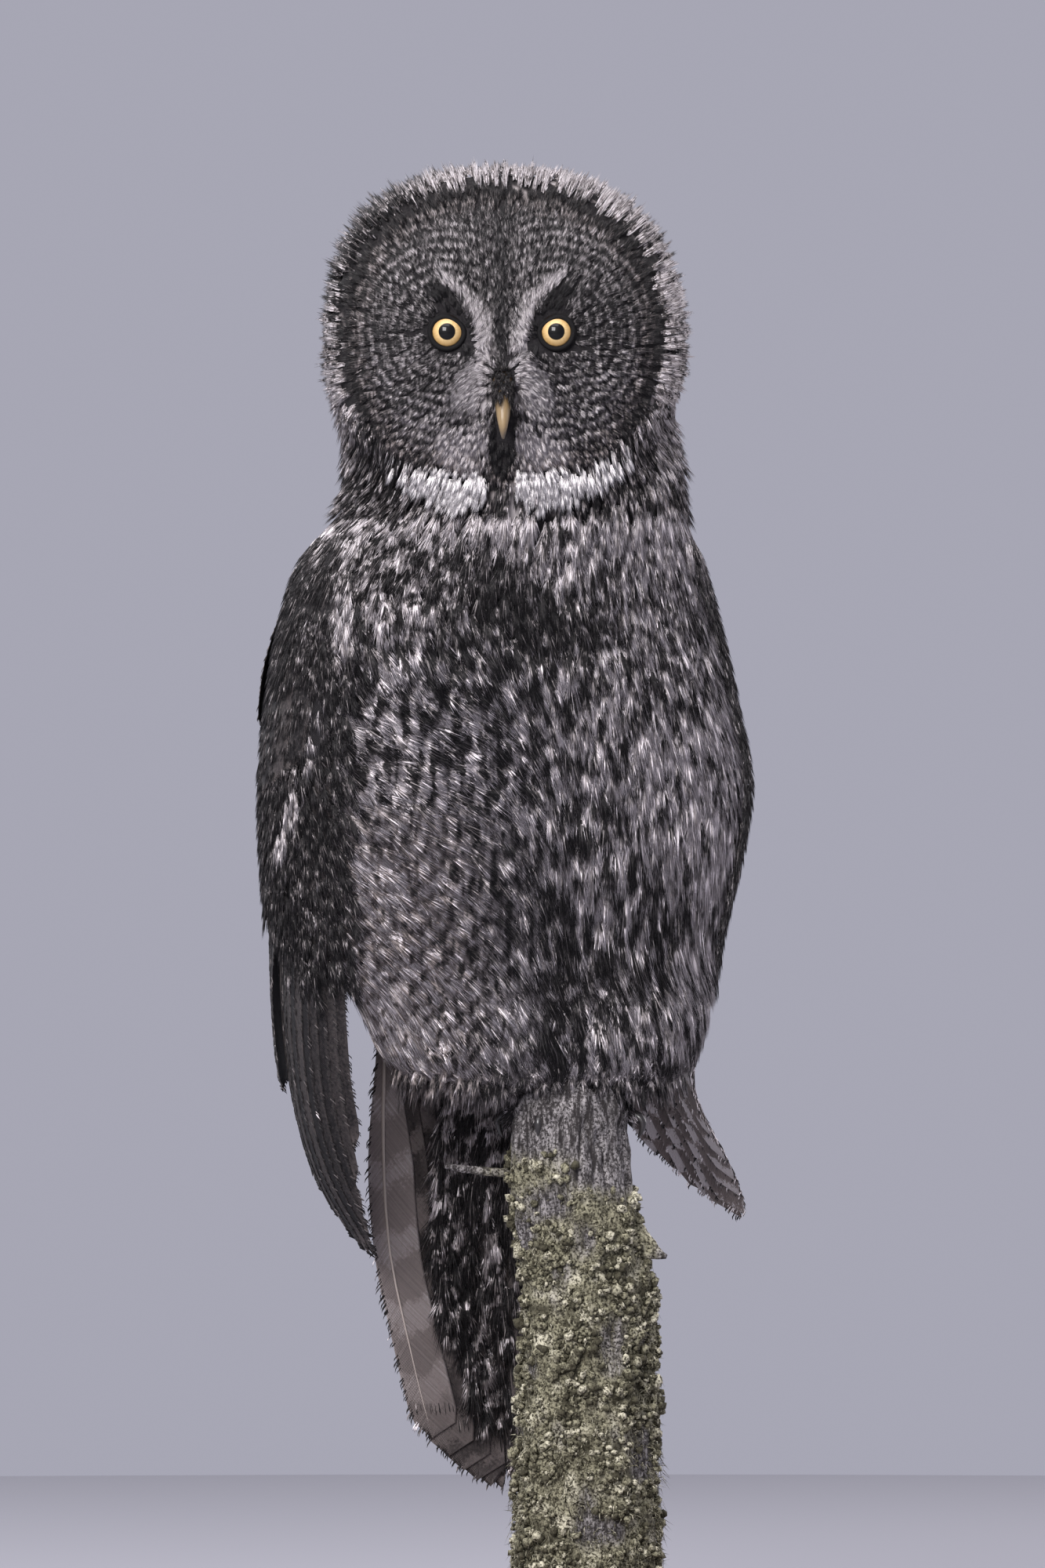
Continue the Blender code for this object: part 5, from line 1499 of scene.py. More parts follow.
def body_point(angle, z, lift):
    """A point on the turned body: angle is from the chest towards the owl's right, lift is outwards."""
    cx, cy, width, front, back, turn = section(z, SECTIONS)
    deep = np.where(np.cos(angle) > 0, front, back)
    lateral, rear = width * np.sin(angle), -deep * np.cos(angle)
    nl, nr = np.sin(angle) / width, -np.cos(angle) / deep
    length = np.hypot(nl, nr)
    lateral, rear = lateral + lift * nl / length, rear + lift * nr / length
    x = cx - lateral * np.cos(turn) - rear * np.sin(turn)
    y = cy - lateral * np.sin(turn) + rear * np.cos(turn)
    return np.stack(np.broadcast_arrays(x, y, z), -1)


def swing(z, side):
    """How far the far wing's tip swings out: nothing above SWING_TOP, FAR_SWING at SWING_LOW."""
    return np.where(side < 0, FAR_SWING * np.clip((SWING_TOP - z) / (SWING_TOP - SWING_LOW), 0, 1.2) ** 1.3,
                    0.0)


def wing_point(angle, z, lift, side):
    """A point on the wing: side is 1 for the owl's right, -1 for its left, whose tip swings out."""
    point = body_point(side * angle, z, lift + 1.5)
    out = swing(z, side)
    return point + np.stack([out, 0.2 * out, 0 * out], -1)


def arc_length(angle, z):
    """Millimetres along the body's section for one radian."""
    _, _, width, front, back, _ = section(z, SECTIONS)
    deep = np.where(np.cos(angle) > 0, front, back)
    return np.hypot(width * np.cos(angle), deep * np.sin(angle))


# %% Finish of the flight feathers
# On a web the barbs run out and down from the shaft, so their fine lines follow along - |across|. Pale bars
# cross it, wavering and freckled, and the margin is worn paler.
flight, net, given, result = group(
    "flight_feather",
    (("Vane", "NodeSocketVector", None), ("Marking", "NodeSocketVector", None), ("Barb", "NodeSocketVector",
    None),
     ("Place", "NodeSocketVector", None), ("Bar Pitch", "NodeSocketFloat", 26.0)),
    (("Colour", "NodeSocketColor"), ("Height", "NodeSocketFloat")),
)
along, across, own = net.parts(given["Vane"])
light, bars, edge = net.parts(given["Marking"])
tint, warmth, contrast = net.parts(given["Barb"])
freckle = net.cloud(given["Place"], 620.0, 3.0, 0.7)
patch = net.cloud(given["Place"], 90.0, 2.0, 0.5)
out = net.sum("ABSOLUTE", across)
barb_line = net.fused(out, -1.1, along)
threads = net.sum("SINE", net.times(barb_line, 2 * math.pi / 1.1))
clump_place = net.plus(barb_line, net.times(own, 40.0))
clump = net.node("ShaderNodeTexNoise", {"noise_dimensions": "1D"}, W=clump_place, Scale=0.45, Detail=3.0,
                 Roughness=0.7).outputs["Fac"]
bar_place = net.sum("DIVIDE", net.fused(out, 0.35, along), given["Bar Pitch"])
bar_place = net.plus(bar_place, net.plus(own, net.times(patch, 0.55)))
wave = net.sum("SINE", net.times(bar_place, 2 * math.pi))
bar_mask = net.step(net.plus(wave, net.times(net.less(freckle, 0.5), 2.6)), -0.1, 0.9)
level = net.times(light, net.less(1.0, net.times(bars, net.less(1.0, bar_mask))))
level = net.times(level, net.fused(clump, 1.3, 0.35))
level = net.plus(level, net.times(edge, 0.35))
jitter = net.times(net.less(tint, 0.5), contrast)
level = net.plus(level, net.times(jitter, 0.12))
level = net.plus(level, net.times(net.less(freckle, 0.55), 0.16), clamp=True)
shade = net.blend(level, DARK, PALE)
middle = net.times(net.times(level, net.less(1.0, level)), 4.0)
colour = net.blend(net.times(warmth, middle, clamp=True), shade, BROWN)
net.tree.links.new(colour, result["Colour"])
net.tree.links.new(net.fused(threads, 0.5, net.times(clump, 1.5)), result["Height"])


def flight_finish(name, pitch, roughness=0.62):
    """Flight feather finish with bars of that pitch in millimetres."""
    made, net, shader = finish(name, roughness, Specular_IOR_Level=0.15, Sheen_Weight=0.02)
    paint = placed(net, flight, Vane=net.attribute("vane"), Marking=net.attribute("marking"),
                   Barb=net.attribute("barb"), Place=net.place(), Bar_Pitch=pitch)
    net.tree.links.new(paint["Colour"], shader.inputs["Base Color"])
    bumped(net, shader, paint["Height"], 0.0003, 0.6)
    return made


wing_material = flight_finish("wing_feathers", 30.0)
tail_material = flight_finish("tail_feathers", 38.0)
quill_material, net, shader = finish("quill", 0.35, Coat_Weight=0.2)
quill_shade = net.blend(net.step(net.attribute("light", "Fac"), 0.0, 1.0), (0.02, 0.017, 0.018),
                        (0.42, 0.36, 0.33))
net.tree.links.new(quill_shade, shader.inputs["Base Color"])

# %% The vane maker
COLUMNS = np.array((-1.0, -0.93, -0.7, -0.42, -0.16, 0.0, 0.16, 0.42, 0.7, 0.93, 1.0))


def web_share(t, length, root=0.5):
    """Width along a web: narrow at the root, full from a third down, rounded at the tip."""
    left = np.clip((1 - t) * length / 17.0, 0.0, 1.0)
    return (root + (1 - root) * ramp(t, 0.0, 0.35)) * np.sqrt(1 - (1 - left) ** 2)


def rim_wall(rows, columns):
    """Faces that join the border of a grid to the border of the grid numbered after it."""
    rim = np.concatenate([np.arange(columns), np.arange(1, rows) * columns + columns - 1,
                          (rows - 1) * columns + np.arange(columns - 2, -1, -1),
                          np.arange(rows - 2, 0, -1) * columns])
    after = np.roll(rim, -1)
    return np.stack([rim, after, after + rows * columns, rim + rows * columns], -1)


def vane_set(name, sheets, finish, replaced=(), slot="flight_feathers"):
    """One piece from many vanes. Each is (points (rows, columns, 3), normals, along mm, across mm, marks),
    made a closed sheet whose two faces are half a thickness off, thinning to the margins."""
    points, quads, stored = [], [], {"vane": [], "marking": [], "barb": []}
    uvs, base = [], 0
    for number, (middle, normal, along, across, marks) in enumerate(sheets):
        rows, columns = middle.shape[:2]
        thin = (1 - 0.75 * np.abs(COLUMNS) ** 3)[None, :, None] * WEB_THICKNESS / 2
        both = np.stack([middle + normal * thin, middle - normal * thin])
        count = rows * columns
        front = grid_faces(rows, columns)
        wall = rim_wall(rows, columns)
        facing = np.sum(np.cross(middle[1, 0] - middle[0, 0], middle[0, 1] - middle[0, 0]) * normal[0, 0])
        if facing < 0:
            front, wall = front[:, ::-1], wall[:, ::-1]
        quads += [front + base, front[:, ::-1] + base + count, wall + base]
        points.append(both.reshape(-1, 3))
        own = (number * 0.618) % 1.0
        light, bars, edge, tint, warmth, contrast = (np.broadcast_to(m, along.shape) for m in marks)
        for key, parts in (("vane", (along, across, own + 0 * along)), ("marking", (light, bars, edge)),
                           ("barb", (tint, warmth, contrast))):
            stored[key].append(np.tile(np.stack(parts, -1).reshape(-1, 3), (2, 1)))
        spot = bake_place(*address(middle[rows // 2, columns // 2]))
        t = np.linspace(0, 1, rows)[:, None] + 0 * along
        patch = np.stack([0.02 * (COLUMNS[None] + 0 * along), 0.06 * (t - 0.5)], -1).reshape(-1, 2)
        uvs.append(np.clip(np.tile(spot + patch, (2, 1)), 0.001, 0.999))
        base += 2 * count
    attributes = {key: np.concatenate(parts) for key, parts in stored.items()}
    made = piece(name, np.concatenate(points), [np.concatenate(quads)], finish, attributes,
                 np.concatenate(uvs))
    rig.ride(made, "root")
    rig.slot(made, slot)
    if replaced:
        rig.replaces(made, *replaced)
    print(f"{name}: {len(sheets)} vanes, {triangles(made)} triangles")
    return made


def grid_normals(points, outward):
    """Unit normals of a grid of points, turned to the side of `outward`."""
    n = unit(np.cross(np.gradient(points, axis=0), np.gradient(points, axis=1)))
    return n * np.sign(np.sum(n * outward, -1, keepdims=True) + 1e-9)


def quills(name, lines, normals, radii, lights, sides=6):
    """Tapered tubes along the shafts (n, rows, 3), raised by half their radius, closed at both ends."""
    lines = lines + normals * radii[..., None] * 0.5
    forward = unit(np.gradient(lines, axis=1))
    across = unit(np.cross(normals, forward))
    up = np.cross(forward, across)
    turn = np.arange(sides) * 2 * math.pi / sides
    rings = lines[:, :, None] + radii[..., None, None] * (
        across[:, :, None] * np.cos(turn)[:, None] + up[:, :, None] * np.sin(turn)[:, None])
    count, rows = lines.shape[:2]
    quads = grid_faces(rows, sides, closed=True)[:, ::-1]
    caps = np.array([[0, *range(sides - 1, 0, -1)], [(rows - 1) * sides + k for k in range(sides)]])
    start = np.arange(count)[:, None, None] * rows * sides
    light = np.repeat(lights, rows * sides)
    made = piece(name, rings.reshape(-1, 3),
                 [(start + quads).reshape(-1, 4), (start + caps).reshape(-1, sides)],
                 quill_material, {"light": light}, np.clip(bake_place(*address(rings.reshape(-1, 3))), 0, 1))
    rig.ride(made, "root")
    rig.slot(made, "flight_feathers")
    return made


def fringe(name, rims, normals, outs, downs, length, finish=coat_material, per_mm=0.55,
           marks=(0.22, 0.3, 0.8), seed=0, width=0.7):
    """Loose barb ends along margins: rims (n, rows, 3) with outward and downward directions at each row."""
    rng = np.random.default_rng(seed)
    middle, up = [], []
    for rim, normal, out, down in zip(rims, normals, outs, downs):
        travel = np.concatenate([[0], np.cumsum(np.linalg.norm(np.diff(rim, axis=0), axis=1))])
        count = int(travel[-1] * per_mm)
        at = rng.uniform(0, travel[-1], count)
        p, n, o, d = (np.stack([np.interp(at, travel, a[:, k]) for k in range(3)], -1)
                      for a in (rim, normal, out, down))
        far = (length * rng.uniform(0.35, 1.2, count) * (0.7 + 0.6 * noise(p, 7.0, seed)))[:, None]
        way = unit(o * rng.uniform(0.3, 1.0, (count, 1)) + d * 1.1)
        tip = p + way * far + n * rng.normal(0, 0.35, (count, 1)) * far * 0.3
        middle.append(np.stack([p - o * 1.5 - d * 1.0, (p + tip) / 2 + o * far * 0.06, tip], 1))
        up.append(np.stack([n, n, n], 1))
    middle, up = np.concatenate(middle), np.concatenate(up)
    count = len(middle)
    corners = spikes(middle, up, np.repeat(width * rng.uniform(0.7, 1.3, (count, 1)), 2, 1))
    own = np.repeat(rng.uniform(0, 1, count), 7)
    one = np.ones(count * 7)
    light, warmth, contrast = marks
    attributes = {"feather": np.stack([0.5 * one, 0.6 * one, own], -1),
                  "marking": np.stack([light * one, 0 * one, 0 * one], -1),
                  "barb": np.stack([own, warmth * one, contrast * one], -1)}
    uv = np.repeat(np.clip(bake_place(*address(middle[:, 0])), 0, 1), 7, axis=0)
    uv = uv + PATCH * 0.5 * np.tile(np.array([(0, 0), (1, 0), (0.5, 0.2), (0, 0.7), (1, 0.7), (0.5, 0.8),
                                              (0.5, 1)]) - 0.5, (count, 1))
    made = piece(name, corners.reshape(-1, 3), spike_faces(count, 2), finish, attributes, uv)
    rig.ride(made, "root")
    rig.slot(made, "body_feathers")
    print(f"{name}: {count} loose barbs, {triangles(made)} triangles")
    return made


# %% The two wings
WING_ROWS = {
    # name: tier, how many here, rows of the grid
    "primaries": (PRIMARIES, 10, 26),
    "secondaries": (SECONDARIES, 13, 20),
    "greater": (GREATER_COVERTS, 12, 14),
    "median": (MEDIAN_COVERTS, 10, 12),
    "scapulars": (SCAPULARS, 8, 14),
}


def tip_height(kind, number, side):
    """Height of a feather's tip, for a number in the solids' count, which may be a fraction."""
    if kind == "primaries":
        tip = np.interp(number, range(8), PRIMARY_TIPS)
        return tip + (FAR_SHORTER * ramp(tip, 290.0, 210.0) if side < 0 else 0.0)
    if kind == "secondaries":
        return np.interp(number, range(8), SECONDARY_TIPS)
    top, fall, wave, pace, phase = {"greater": (402, 2.0, 8, 1.7, 0), "median": (462, 1.5, 6, 2.3, 1),
                                    "scapulars": (488, 12.0, 3, 2.1, 0)}[kind]
    return top - fall * number + wave * math.sin(pace * number + phase)


def wing_vane(kind, number, rows, side, rng):
    """One feather on the wing's shape: its grid of points, normals, and where each point is on it."""
    tier = WING_ROWS[kind][0]
    _, root, first, step, lower, low_first, low_step, front_web, back_web = tier
    tip = float(tip_height(kind, number, side)) + rng.uniform(-1.5, 1.5)
    t = np.linspace(0, 1, rows) ** 0.92
    z = root + (tip - root) * t
    share = np.clip((root - z) / (root - lower), 0, 1)
    start, space = first + (low_first - first) * share, step + (low_step - step) * share
    shaft = np.radians(start + space * number)
    wide = web_share(t, root - tip) / arc_length(shaft, z)
    webs = np.where(COLUMNS < 0, front_web, back_web)[None]
    angle = shaft[:, None] + COLUMNS[None] * webs * wide[:, None]
    height = z[:, None] + 0 * angle
    ranks = (np.degrees(angle) - start[:, None]) / space[:, None]
    lift = np.interp(height, *zip(*TIER_LIFT[kind])) + VANE_STEP * (number - ranks)
    lift = lift + 0.5 * (1 - COLUMNS[None] ** 2) * ramp(t, 0.0, 0.2)[:, None]
    middle = wing_point(angle, height, lift, side)
    normal = grid_normals(middle, wing_point(angle, height, lift + 4.0, side) - middle)
    along = (t * (root - tip))[:, None] + 0 * angle
    across = COLUMNS[None] * webs * web_share(t, root - tip)[:, None]
    return middle, normal, along, across


def build_wing(label, side):
    rng = np.random.default_rng(40 + side)
    sheets, shafts, shaft_normals, shaft_radii, shaft_lights = [], [], [], [], []
    rims, rim_normals, outs, downs = [], [], [], []
    for kind, (tier, count, rows) in WING_ROWS.items():
        for k in range(count):
            number = k * (tier[0] - 1) / (count - 1)
            middle, normal, along, across = wing_vane(kind, number, rows, side, rng)
            margin = ramp(np.abs(COLUMNS), 0.75, 1.0)[None] * (0.25 if kind == "primaries" else 0.4)
            tip = ramp(along / along.max(), 0.93, 1.0)
            far_end = ramp(along / along.max(), 0.6, 0.85) * (kind == "primaries" and side < 0)
            light = 0.1 * (side < 0) + 1.3 * far_end
            bars = 0.85 if kind != "primaries" or side < 0 else 0.5
            marks = (light, bars, (0.35 + 0.6 * far_end) * margin + (0.3 + 0.5 * far_end) * tip,
                     rng.uniform(0, 1), 0.45, 0.8)
            sheets.append((middle, normal, along, across, marks))
            centre = len(COLUMNS) // 2
            pick = np.linspace(0, rows - 1, 12).round().astype(int)
            shafts.append(middle[pick, centre])
            shaft_normals.append(normal[pick, centre])
            shaft_radii.append(np.linspace(0.95 if rows > 16 else 0.6, 0.18, 12))
            shaft_lights.append(0.15 + 0.1 * rng.uniform())
            for edge, sign in ((0, -1), (len(COLUMNS) - 1, 1)):
                rims.append(middle[:, edge])
                rim_normals.append(normal[:, edge])
                outs.append(unit(middle[:, edge] - middle[:, edge - sign]))
                downs.append(unit(np.gradient(middle[:, centre], axis=0)))
    name = f"wing_{label}"
    vane_set(name + "_feathers", sheets, wing_material, (f"wing_{label}",))
    quills(name + "_shafts", np.array(shafts), np.array(shaft_normals), np.array(shaft_radii),
           np.array(shaft_lights))
    fringe(name + "_fringe", rims, rim_normals, outs, downs, 3.2, seed=50 + side,
           marks=(0.06, 0.35, 0.8) if side > 0 else (0.45, 0.35, 0.7))
    angle, z = np.meshgrid(np.radians(np.linspace(64.5, 157.5, 40)), np.linspace(582.0, 424.0, 36))
    outer = wing_point(angle, z, np.interp(z, *zip(*ARM_LIFT)) - 0.5, side)
    inner = wing_point(angle, z, -WING_DEPTH - 2.0 + 0 * z, side)
    count = angle.size
    rows, columns = angle.shape
    front = grid_faces(rows, columns)
    wall = rim_wall(rows, columns)
    if side > 0:
        front, wall = front[:, ::-1], wall[:, ::-1]
    points = np.concatenate([outer.reshape(-1, 3), inner.reshape(-1, 3)])
    one = np.ones(len(points))
    attributes = {"feather": np.stack([0.5 * one, 0.5 * one, noise(points, 6.0, 9)], -1),
                  "marking": np.stack([0.12 * one, 0.3 * one, 0.3 * one], -1),
                  "barb": np.stack([0.5 * one, 0.3 * one, 0.5 * one], -1)}
    arm = piece(name + "_arm", points, [front, front[:, ::-1] + count, wall], skin_material, attributes,
                np.clip(bake_place(*address(points)), 0, 1))
    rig.ride(arm, "root")
    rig.slot(arm, "body_feathers")


build_wing("right", 1)
build_wing("left", -1)

# %% Small coverts over the wings
# From the wrist down to the long feathers a wing is furred with small dark feathers, freckled with grey.
COVERT_LIFT = ((210.0, 0.0), (285.0, 0.4), (340.0, 1.2), (400.0, 1.0), (460.0, 2.0), (500.0, 1.0),
               (541.0, 1.2), (588.0, 0.6))


def wing_surface(side):
    """The outer surface of a wing's coverts, as a function that puts points on it."""

    def surface(p):
        z = p[..., 2]
        out = swing(z, side)
        _, angle = body_share(p[..., 0] - out, p[..., 1] - 0.2 * out, z, SECTIONS)
        turned = (side * angle) % (2 * math.pi)
        lift = np.interp(z, *zip(*COVERT_LIFT))
        q = wing_point(turned, z, lift, side)
        return q, unit(wing_point(turned, z, lift + 4.0, side) - q)

    return surface


def down_wing(p, n):
    """Straight down along the wing."""
    down = np.array((0.0, 0.0, -1.0))
    return unit(down - n * n[..., 2:] * -1.0)


COVERT_SLANT = 60.0


def covert_stripe(p):
    """1 on the row of pale flecks along the near wing's outer edge."""
    return stroke(-p[..., 0], p[..., 2], ((139, 500, 2.0), (146, 470, 3.0), (156, 440, 3.6),
                                          (163, 416, 3.2)), 0.6)


def wing_paint(p):
    light = 0.22 + 0.30 * (noise(p, 16.0, 71) - 0.5)
    light = light + 0.95 * covert_stripe(p) * ramp(noise(p, 5.0, 72), 0.35, 0.6)
    light = light + 0.5 * ramp(p[..., 2], 560.0, 580.0) * ramp(noise(p, 7.0, 73), 0.45, 0.65)
    light = light + 1.1 * bell(p[..., 0], -128.0, 4.0) * bell(p[..., 2], 543.0, 14.0)
    return light, 0 * light, 0 * light + 0.3, 0 * light + 0.2, 0 * light + 0.9


for label, side in (("near", 1), ("far", -1)):
    rng = np.random.default_rng(75 + side)
    surface = wing_surface(side)
    found = []
    for row, z in enumerate(np.arange(352.0, 590.0, 6.4)):
        reach = 123.0
        angle = np.arange(math.radians(60.0), math.radians(158.0), 7.4 / reach) + (row % 2) * 3.7 / reach
        angle = angle[z > 352.0 + COVERT_SLANT * ramp(angle, 1.1, 2.3) + rng.uniform(-9.0, 9.0, len(angle))]
        angle = angle + rng.uniform(-2.4, 2.4, len(angle)) / reach
        found.append(np.stack([angle, z + rng.uniform(-2.4, 2.4, len(angle))], -1))
    angle, z = np.concatenate(found).T
    p, n = surface(wing_point(angle, z, 0 * z, side))
    coat(f"wing_coverts_{label}", np.stack(address(p), -1), 17.0, 4.6, 26 if side > 0 else 18, 3.0, 0.9,
         wing_paint, 76 + side, way=down_wing,
         surface=surface, start=lambda u, v, p=p, n=n: (p, n), barb_width=0.75, finish=wing_coat_material,
         loose=0.1)

# %% [markdown]
# ## Tail
# Twelve feathers fan out from the rump, the middle pair on top of the rest, so from the front one sees the
# undersides, with the outermost feather nearest. In the photo its pale shaft and pale bars stand out at the
# left, and dark, frizzled undertail coverts hide the others.

# %% Sizes of the tail
TAIL_HALF, TAIL_ROOT, TAIL_TIP, TAIL_ROUNDING = 6, 322.0, 84.0, 34.0
TAIL_SPACING = ((322.0, 10.4), (253.0, 10.0), (179.0, 9.1), (146.0, 8.7), (84.0, 7.2))
TAIL_INNER_WEB, TAIL_OUTER_WEB = 20.0, 10.0
TAIL_PATH = ((340.0, -60.0, 84.0), (270.0, -63.0, 100.0), (208.0, -61.5, 109.0), (150.0, -52.0, 116.0),
             (84.0, -41.0, 122.0))


def tail_point(u, z, lift):
    """A point of the tail's fan: u is towards the owl's right from its middle, lift towards its back."""
    heights, xs, ys = zip(*TAIL_PATH)
    cx, cy = smooth(z, heights, xs), smooth(z, heights, ys)
    c, s = math.cos(BODY_YAW), math.sin(BODY_YAW)
    deep = lift - 9.0 * (u / 55.0) ** 2
    return np.stack(np.broadcast_arrays(cx - u * c - deep * s, cy - u * s + deep * c, z), -1)


def tail_vane(number, half):
    """One tail feather: half is 1 on the owl's right and -1 on its left."""
    tip = TAIL_TIP + TAIL_ROUNDING * ((number + 0.5) / TAIL_HALF) ** 2.2 + (1.5 if half < 0 else 0.0)
    t = np.linspace(0, 1, 26) ** 0.95
    z = TAIL_ROOT + (tip - TAIL_ROOT) * t
    space = smooth(z, *zip(*TAIL_SPACING))
    shaft = (number + 0.5) * space
    share = web_share(t, TAIL_ROOT - tip)
    webs = np.where(COLUMNS < 0, TAIL_INNER_WEB, TAIL_OUTER_WEB)[None]
    u = np.maximum(shaft[:, None] + COLUMNS[None] * webs * share[:, None], 0.4 + 0.01 * COLUMNS[None])
    lift = VANE_STEP * (u / space[:, None] - number - 0.5) - 0.5 * (1 - COLUMNS[None] ** 2)
    middle = tail_point(half * u, z[:, None] + 0 * u, lift)
    normal = grid_normals(middle, np.array((0.0, -1.0, 0.0)))
    along = (t * (TAIL_ROOT - tip))[:, None] + 0 * u
    return middle, normal, along, COLUMNS[None] * webs * share[:, None]


# %% Build the tail
sheets, shafts, shaft_normals, shaft_radii, shaft_lights = [], [], [], [], []
rims, rim_normals, outs, downs = [], [], [], []
for half in (1, -1):
    for number in range(TAIL_HALF):
        middle, normal, along, across = tail_vane(number, half)
        outermost = number == TAIL_HALF - 1
        edge = 0.25 * ramp(np.abs(COLUMNS), 0.8, 1.0)[None] + 0.25 * ramp(along / along.max(), 0.94, 1.0)
        light = (0.66 if outermost else 0.26) * (1 - 0.4 * ramp(along, 120.0, 230.0))
        sheets.append((middle, normal, along, across, (light, 0.45 if outermost else 0.75, edge, 0.5, 0.4,
                                                       0.5)))
        pick = np.linspace(0, 25, 14).round().astype(int)
        shafts.append(middle[pick, 5])
        shaft_normals.append(normal[pick, 5])
        shaft_radii.append(np.linspace(1.15, 0.25, 14))
        shaft_lights.append(0.85 if outermost else 0.3)
        for side, sign in ((0, -1), (10, 1)):
            if side == 10 or number < 2:
                rims.append(middle[:, side])
                rim_normals.append(normal[:, side])
                outs.append(unit(middle[:, side] - middle[:, side - sign]))
                downs.append(unit(np.gradient(middle[:, 5], axis=0)))
        tip_row = middle[-3]
        rims.append(tip_row)
        rim_normals.append(normal[-3])
        outs.append(unit(np.gradient(middle[:, 5], axis=0))[-1] + 0 * tip_row)
        downs.append(np.array((0.0, 0.0, -1.0)) + 0 * tip_row)
vane_set("tail_feathers", sheets, tail_material, ("tail",))
quills("tail_shafts", np.array(shafts), np.array(shaft_normals), np.array(shaft_radii),
       np.array(shaft_lights))
fringe("tail_fringe", rims, rim_normals, outs, downs, 4.2, marks=(0.25, 0.4, 0.9), seed=60)


# %% Coverts under and over the tail
# height, half width, thickness under and over
UNDER_PATH = ((345.0, 44.0, 20.0, 16.0), (320.0, 49.0, 19.0, 17.0), (295.0, 50.0, 16.0, 15.0),
              (265.0, 48.0, 12.5, 11.0), (235.0, 43.0, 9.0, 7.5), (205.0, 35.0, 6.0, 5.0),
              (182.0, 20.0, 3.5, 3.0), (120.0, 12.0, 3.0, 2.5))


def tail_address(p):
    """How far a point is across the tail's fan."""
    heights, xs, ys = zip(*TAIL_PATH)
    cx, cy = smooth(p[..., 2], heights, xs), smooth(p[..., 2], heights, ys)
    return -((p[..., 0] - cx) * math.cos(BODY_YAW) + (p[..., 1] - cy) * math.sin(BODY_YAW))


def tail_coat_surface(facing):
    """A surface over the tail's coverts: facing is -1 under it, towards the viewer, and 1 over it."""
    heights, halves, under, over = zip(*UNDER_PATH)

    def surface(p):
        z = np.clip(p[..., 2], 60.0, 345.0)
        u = tail_address(p)
        half, thick = smooth(z, heights, halves), smooth(z, heights, under if facing < 0 else over)
        swell = np.sqrt(np.clip(1 - (u / half) ** 2, 0, 1))
        q = tail_point(u, z, facing * (thick * swell + 2.0 + (6.0 if facing < 0 else 0.0) * (1 - swell)))
        slope = np.clip(u / half, -1, 1) * 0.5
        n = unit(np.stack([-facing * math.sin(BODY_YAW) - slope * math.cos(BODY_YAW),
                           facing * math.cos(BODY_YAW) - slope * math.sin(BODY_YAW), 0 * u], -1))
        return q, n

    return surface


def down_tail(p, n):
    """Down along the tail, a little outwards."""
    u = tail_address(p)
    way = np.stack([-0.006 * u, 0 * u, -1 + 0 * u], -1)
    return unit(way - n * np.sum(way * n, -1, keepdims=True))


def covert_paint(p):
    """Dark coverts with a pale fleck here and there."""
    cloud = noise(p, 9.0, 31)
    return 0.30 + 0.30 * ramp(cloud, 0.62, 0.9), 0 * cloud + 0.6, 0 * cloud, 0 * cloud + 0.3, 0 * cloud + 0.9


for label, facing, low, high, spread in (("under", -1, 132.0, 326.0, 31.0), ("over", 1, 190.0, 326.0, 33.0)):
    rng = np.random.default_rng(70 + facing)
    z, u = np.meshgrid(np.arange(low, high, 8.5), np.arange(-spread, spread, 7.5))
    z, u = (a.ravel() + rng.uniform(-3, 3, a.size) for a in (z, u))
    keep = (np.abs(u) < smooth(z, [r[0] for r in UNDER_PATH], [r[1] for r in UNDER_PATH])
            + 3) & ((facing > 0) | (u < 27.0))
    z, u = z[keep], u[keep]
    p, _ = tail_coat_surface(facing)(tail_point(u, z, 0 * z))
    roots = np.stack(address(p), -1)
    surface = tail_coat_surface(facing)
    coat(f"tail_coverts_{label}", roots, 30.0, 8.0, 44, 3.0, 1.6, covert_paint, 70 + facing, way=down_tail,
         surface=surface, start=lambda u, v, at=p, surface=surface: surface(at), ragged=0.35, barb_width=0.8)

# %% [markdown]
# ## Feet
# The legs and toes of this owl are feathered down to the claws. On the perch they sink into the belly's
# fluff, so each foot is a plain soft shape under a short coat, with black horn claws that bend over the rim.

# %% Legs, toes and claws
PERCH_FOOT, PERCH_TOP = 44.0, 287.0
FEET_X, FEET_Y, FEET_SPREAD, ANKLE_RISE = -9.0, 6.0, 15.0, 9.0
LEG_RADII = (10.5, 12.5, 13.0)
TOES = ((-4.0, 23.0), (34.0, 23.0), (148.0, 22.0), (-170.0, 22.0))
TOE_RADII = (6.0, 6.0, 5.4, 4.4)
TOE_BEND = ((0.0, -5.0), (0.35, -5.5), (0.7, -6.5), (1.0, -13.0))
CLAW_CURVE = ((-2.0, -10.5), (3.0, -11.5), (5.5, -14.5), (5.0, -19.0), (3.0, -22.5))
CLAW_RADII = (2.6, 2.7, 2.2, 1.4, 0.5)

claw_material, net, shader = finish("claw_horn", 0.35, Coat_Weight=0.4, Coat_Roughness=0.2)
grain = net.cloud(net.stretched(net.place(), (1200.0, 1200.0, 260.0)), 1.0, 3.0)
net.tree.links.new(net.blend(grain, (0.008, 0.007, 0.008), (0.035, 0.03, 0.03)), shader.inputs["Base Color"])
bumped(net, shader, grain, 0.0002)


def foot_paint(p):
    pale = noise(p, 6.0, 41)
    return 0.18 + 0.4 * pale, 0 * pale + 0.5, 0 * pale + 0.3, 0 * pale + 0.4, 0 * pale + 0.9


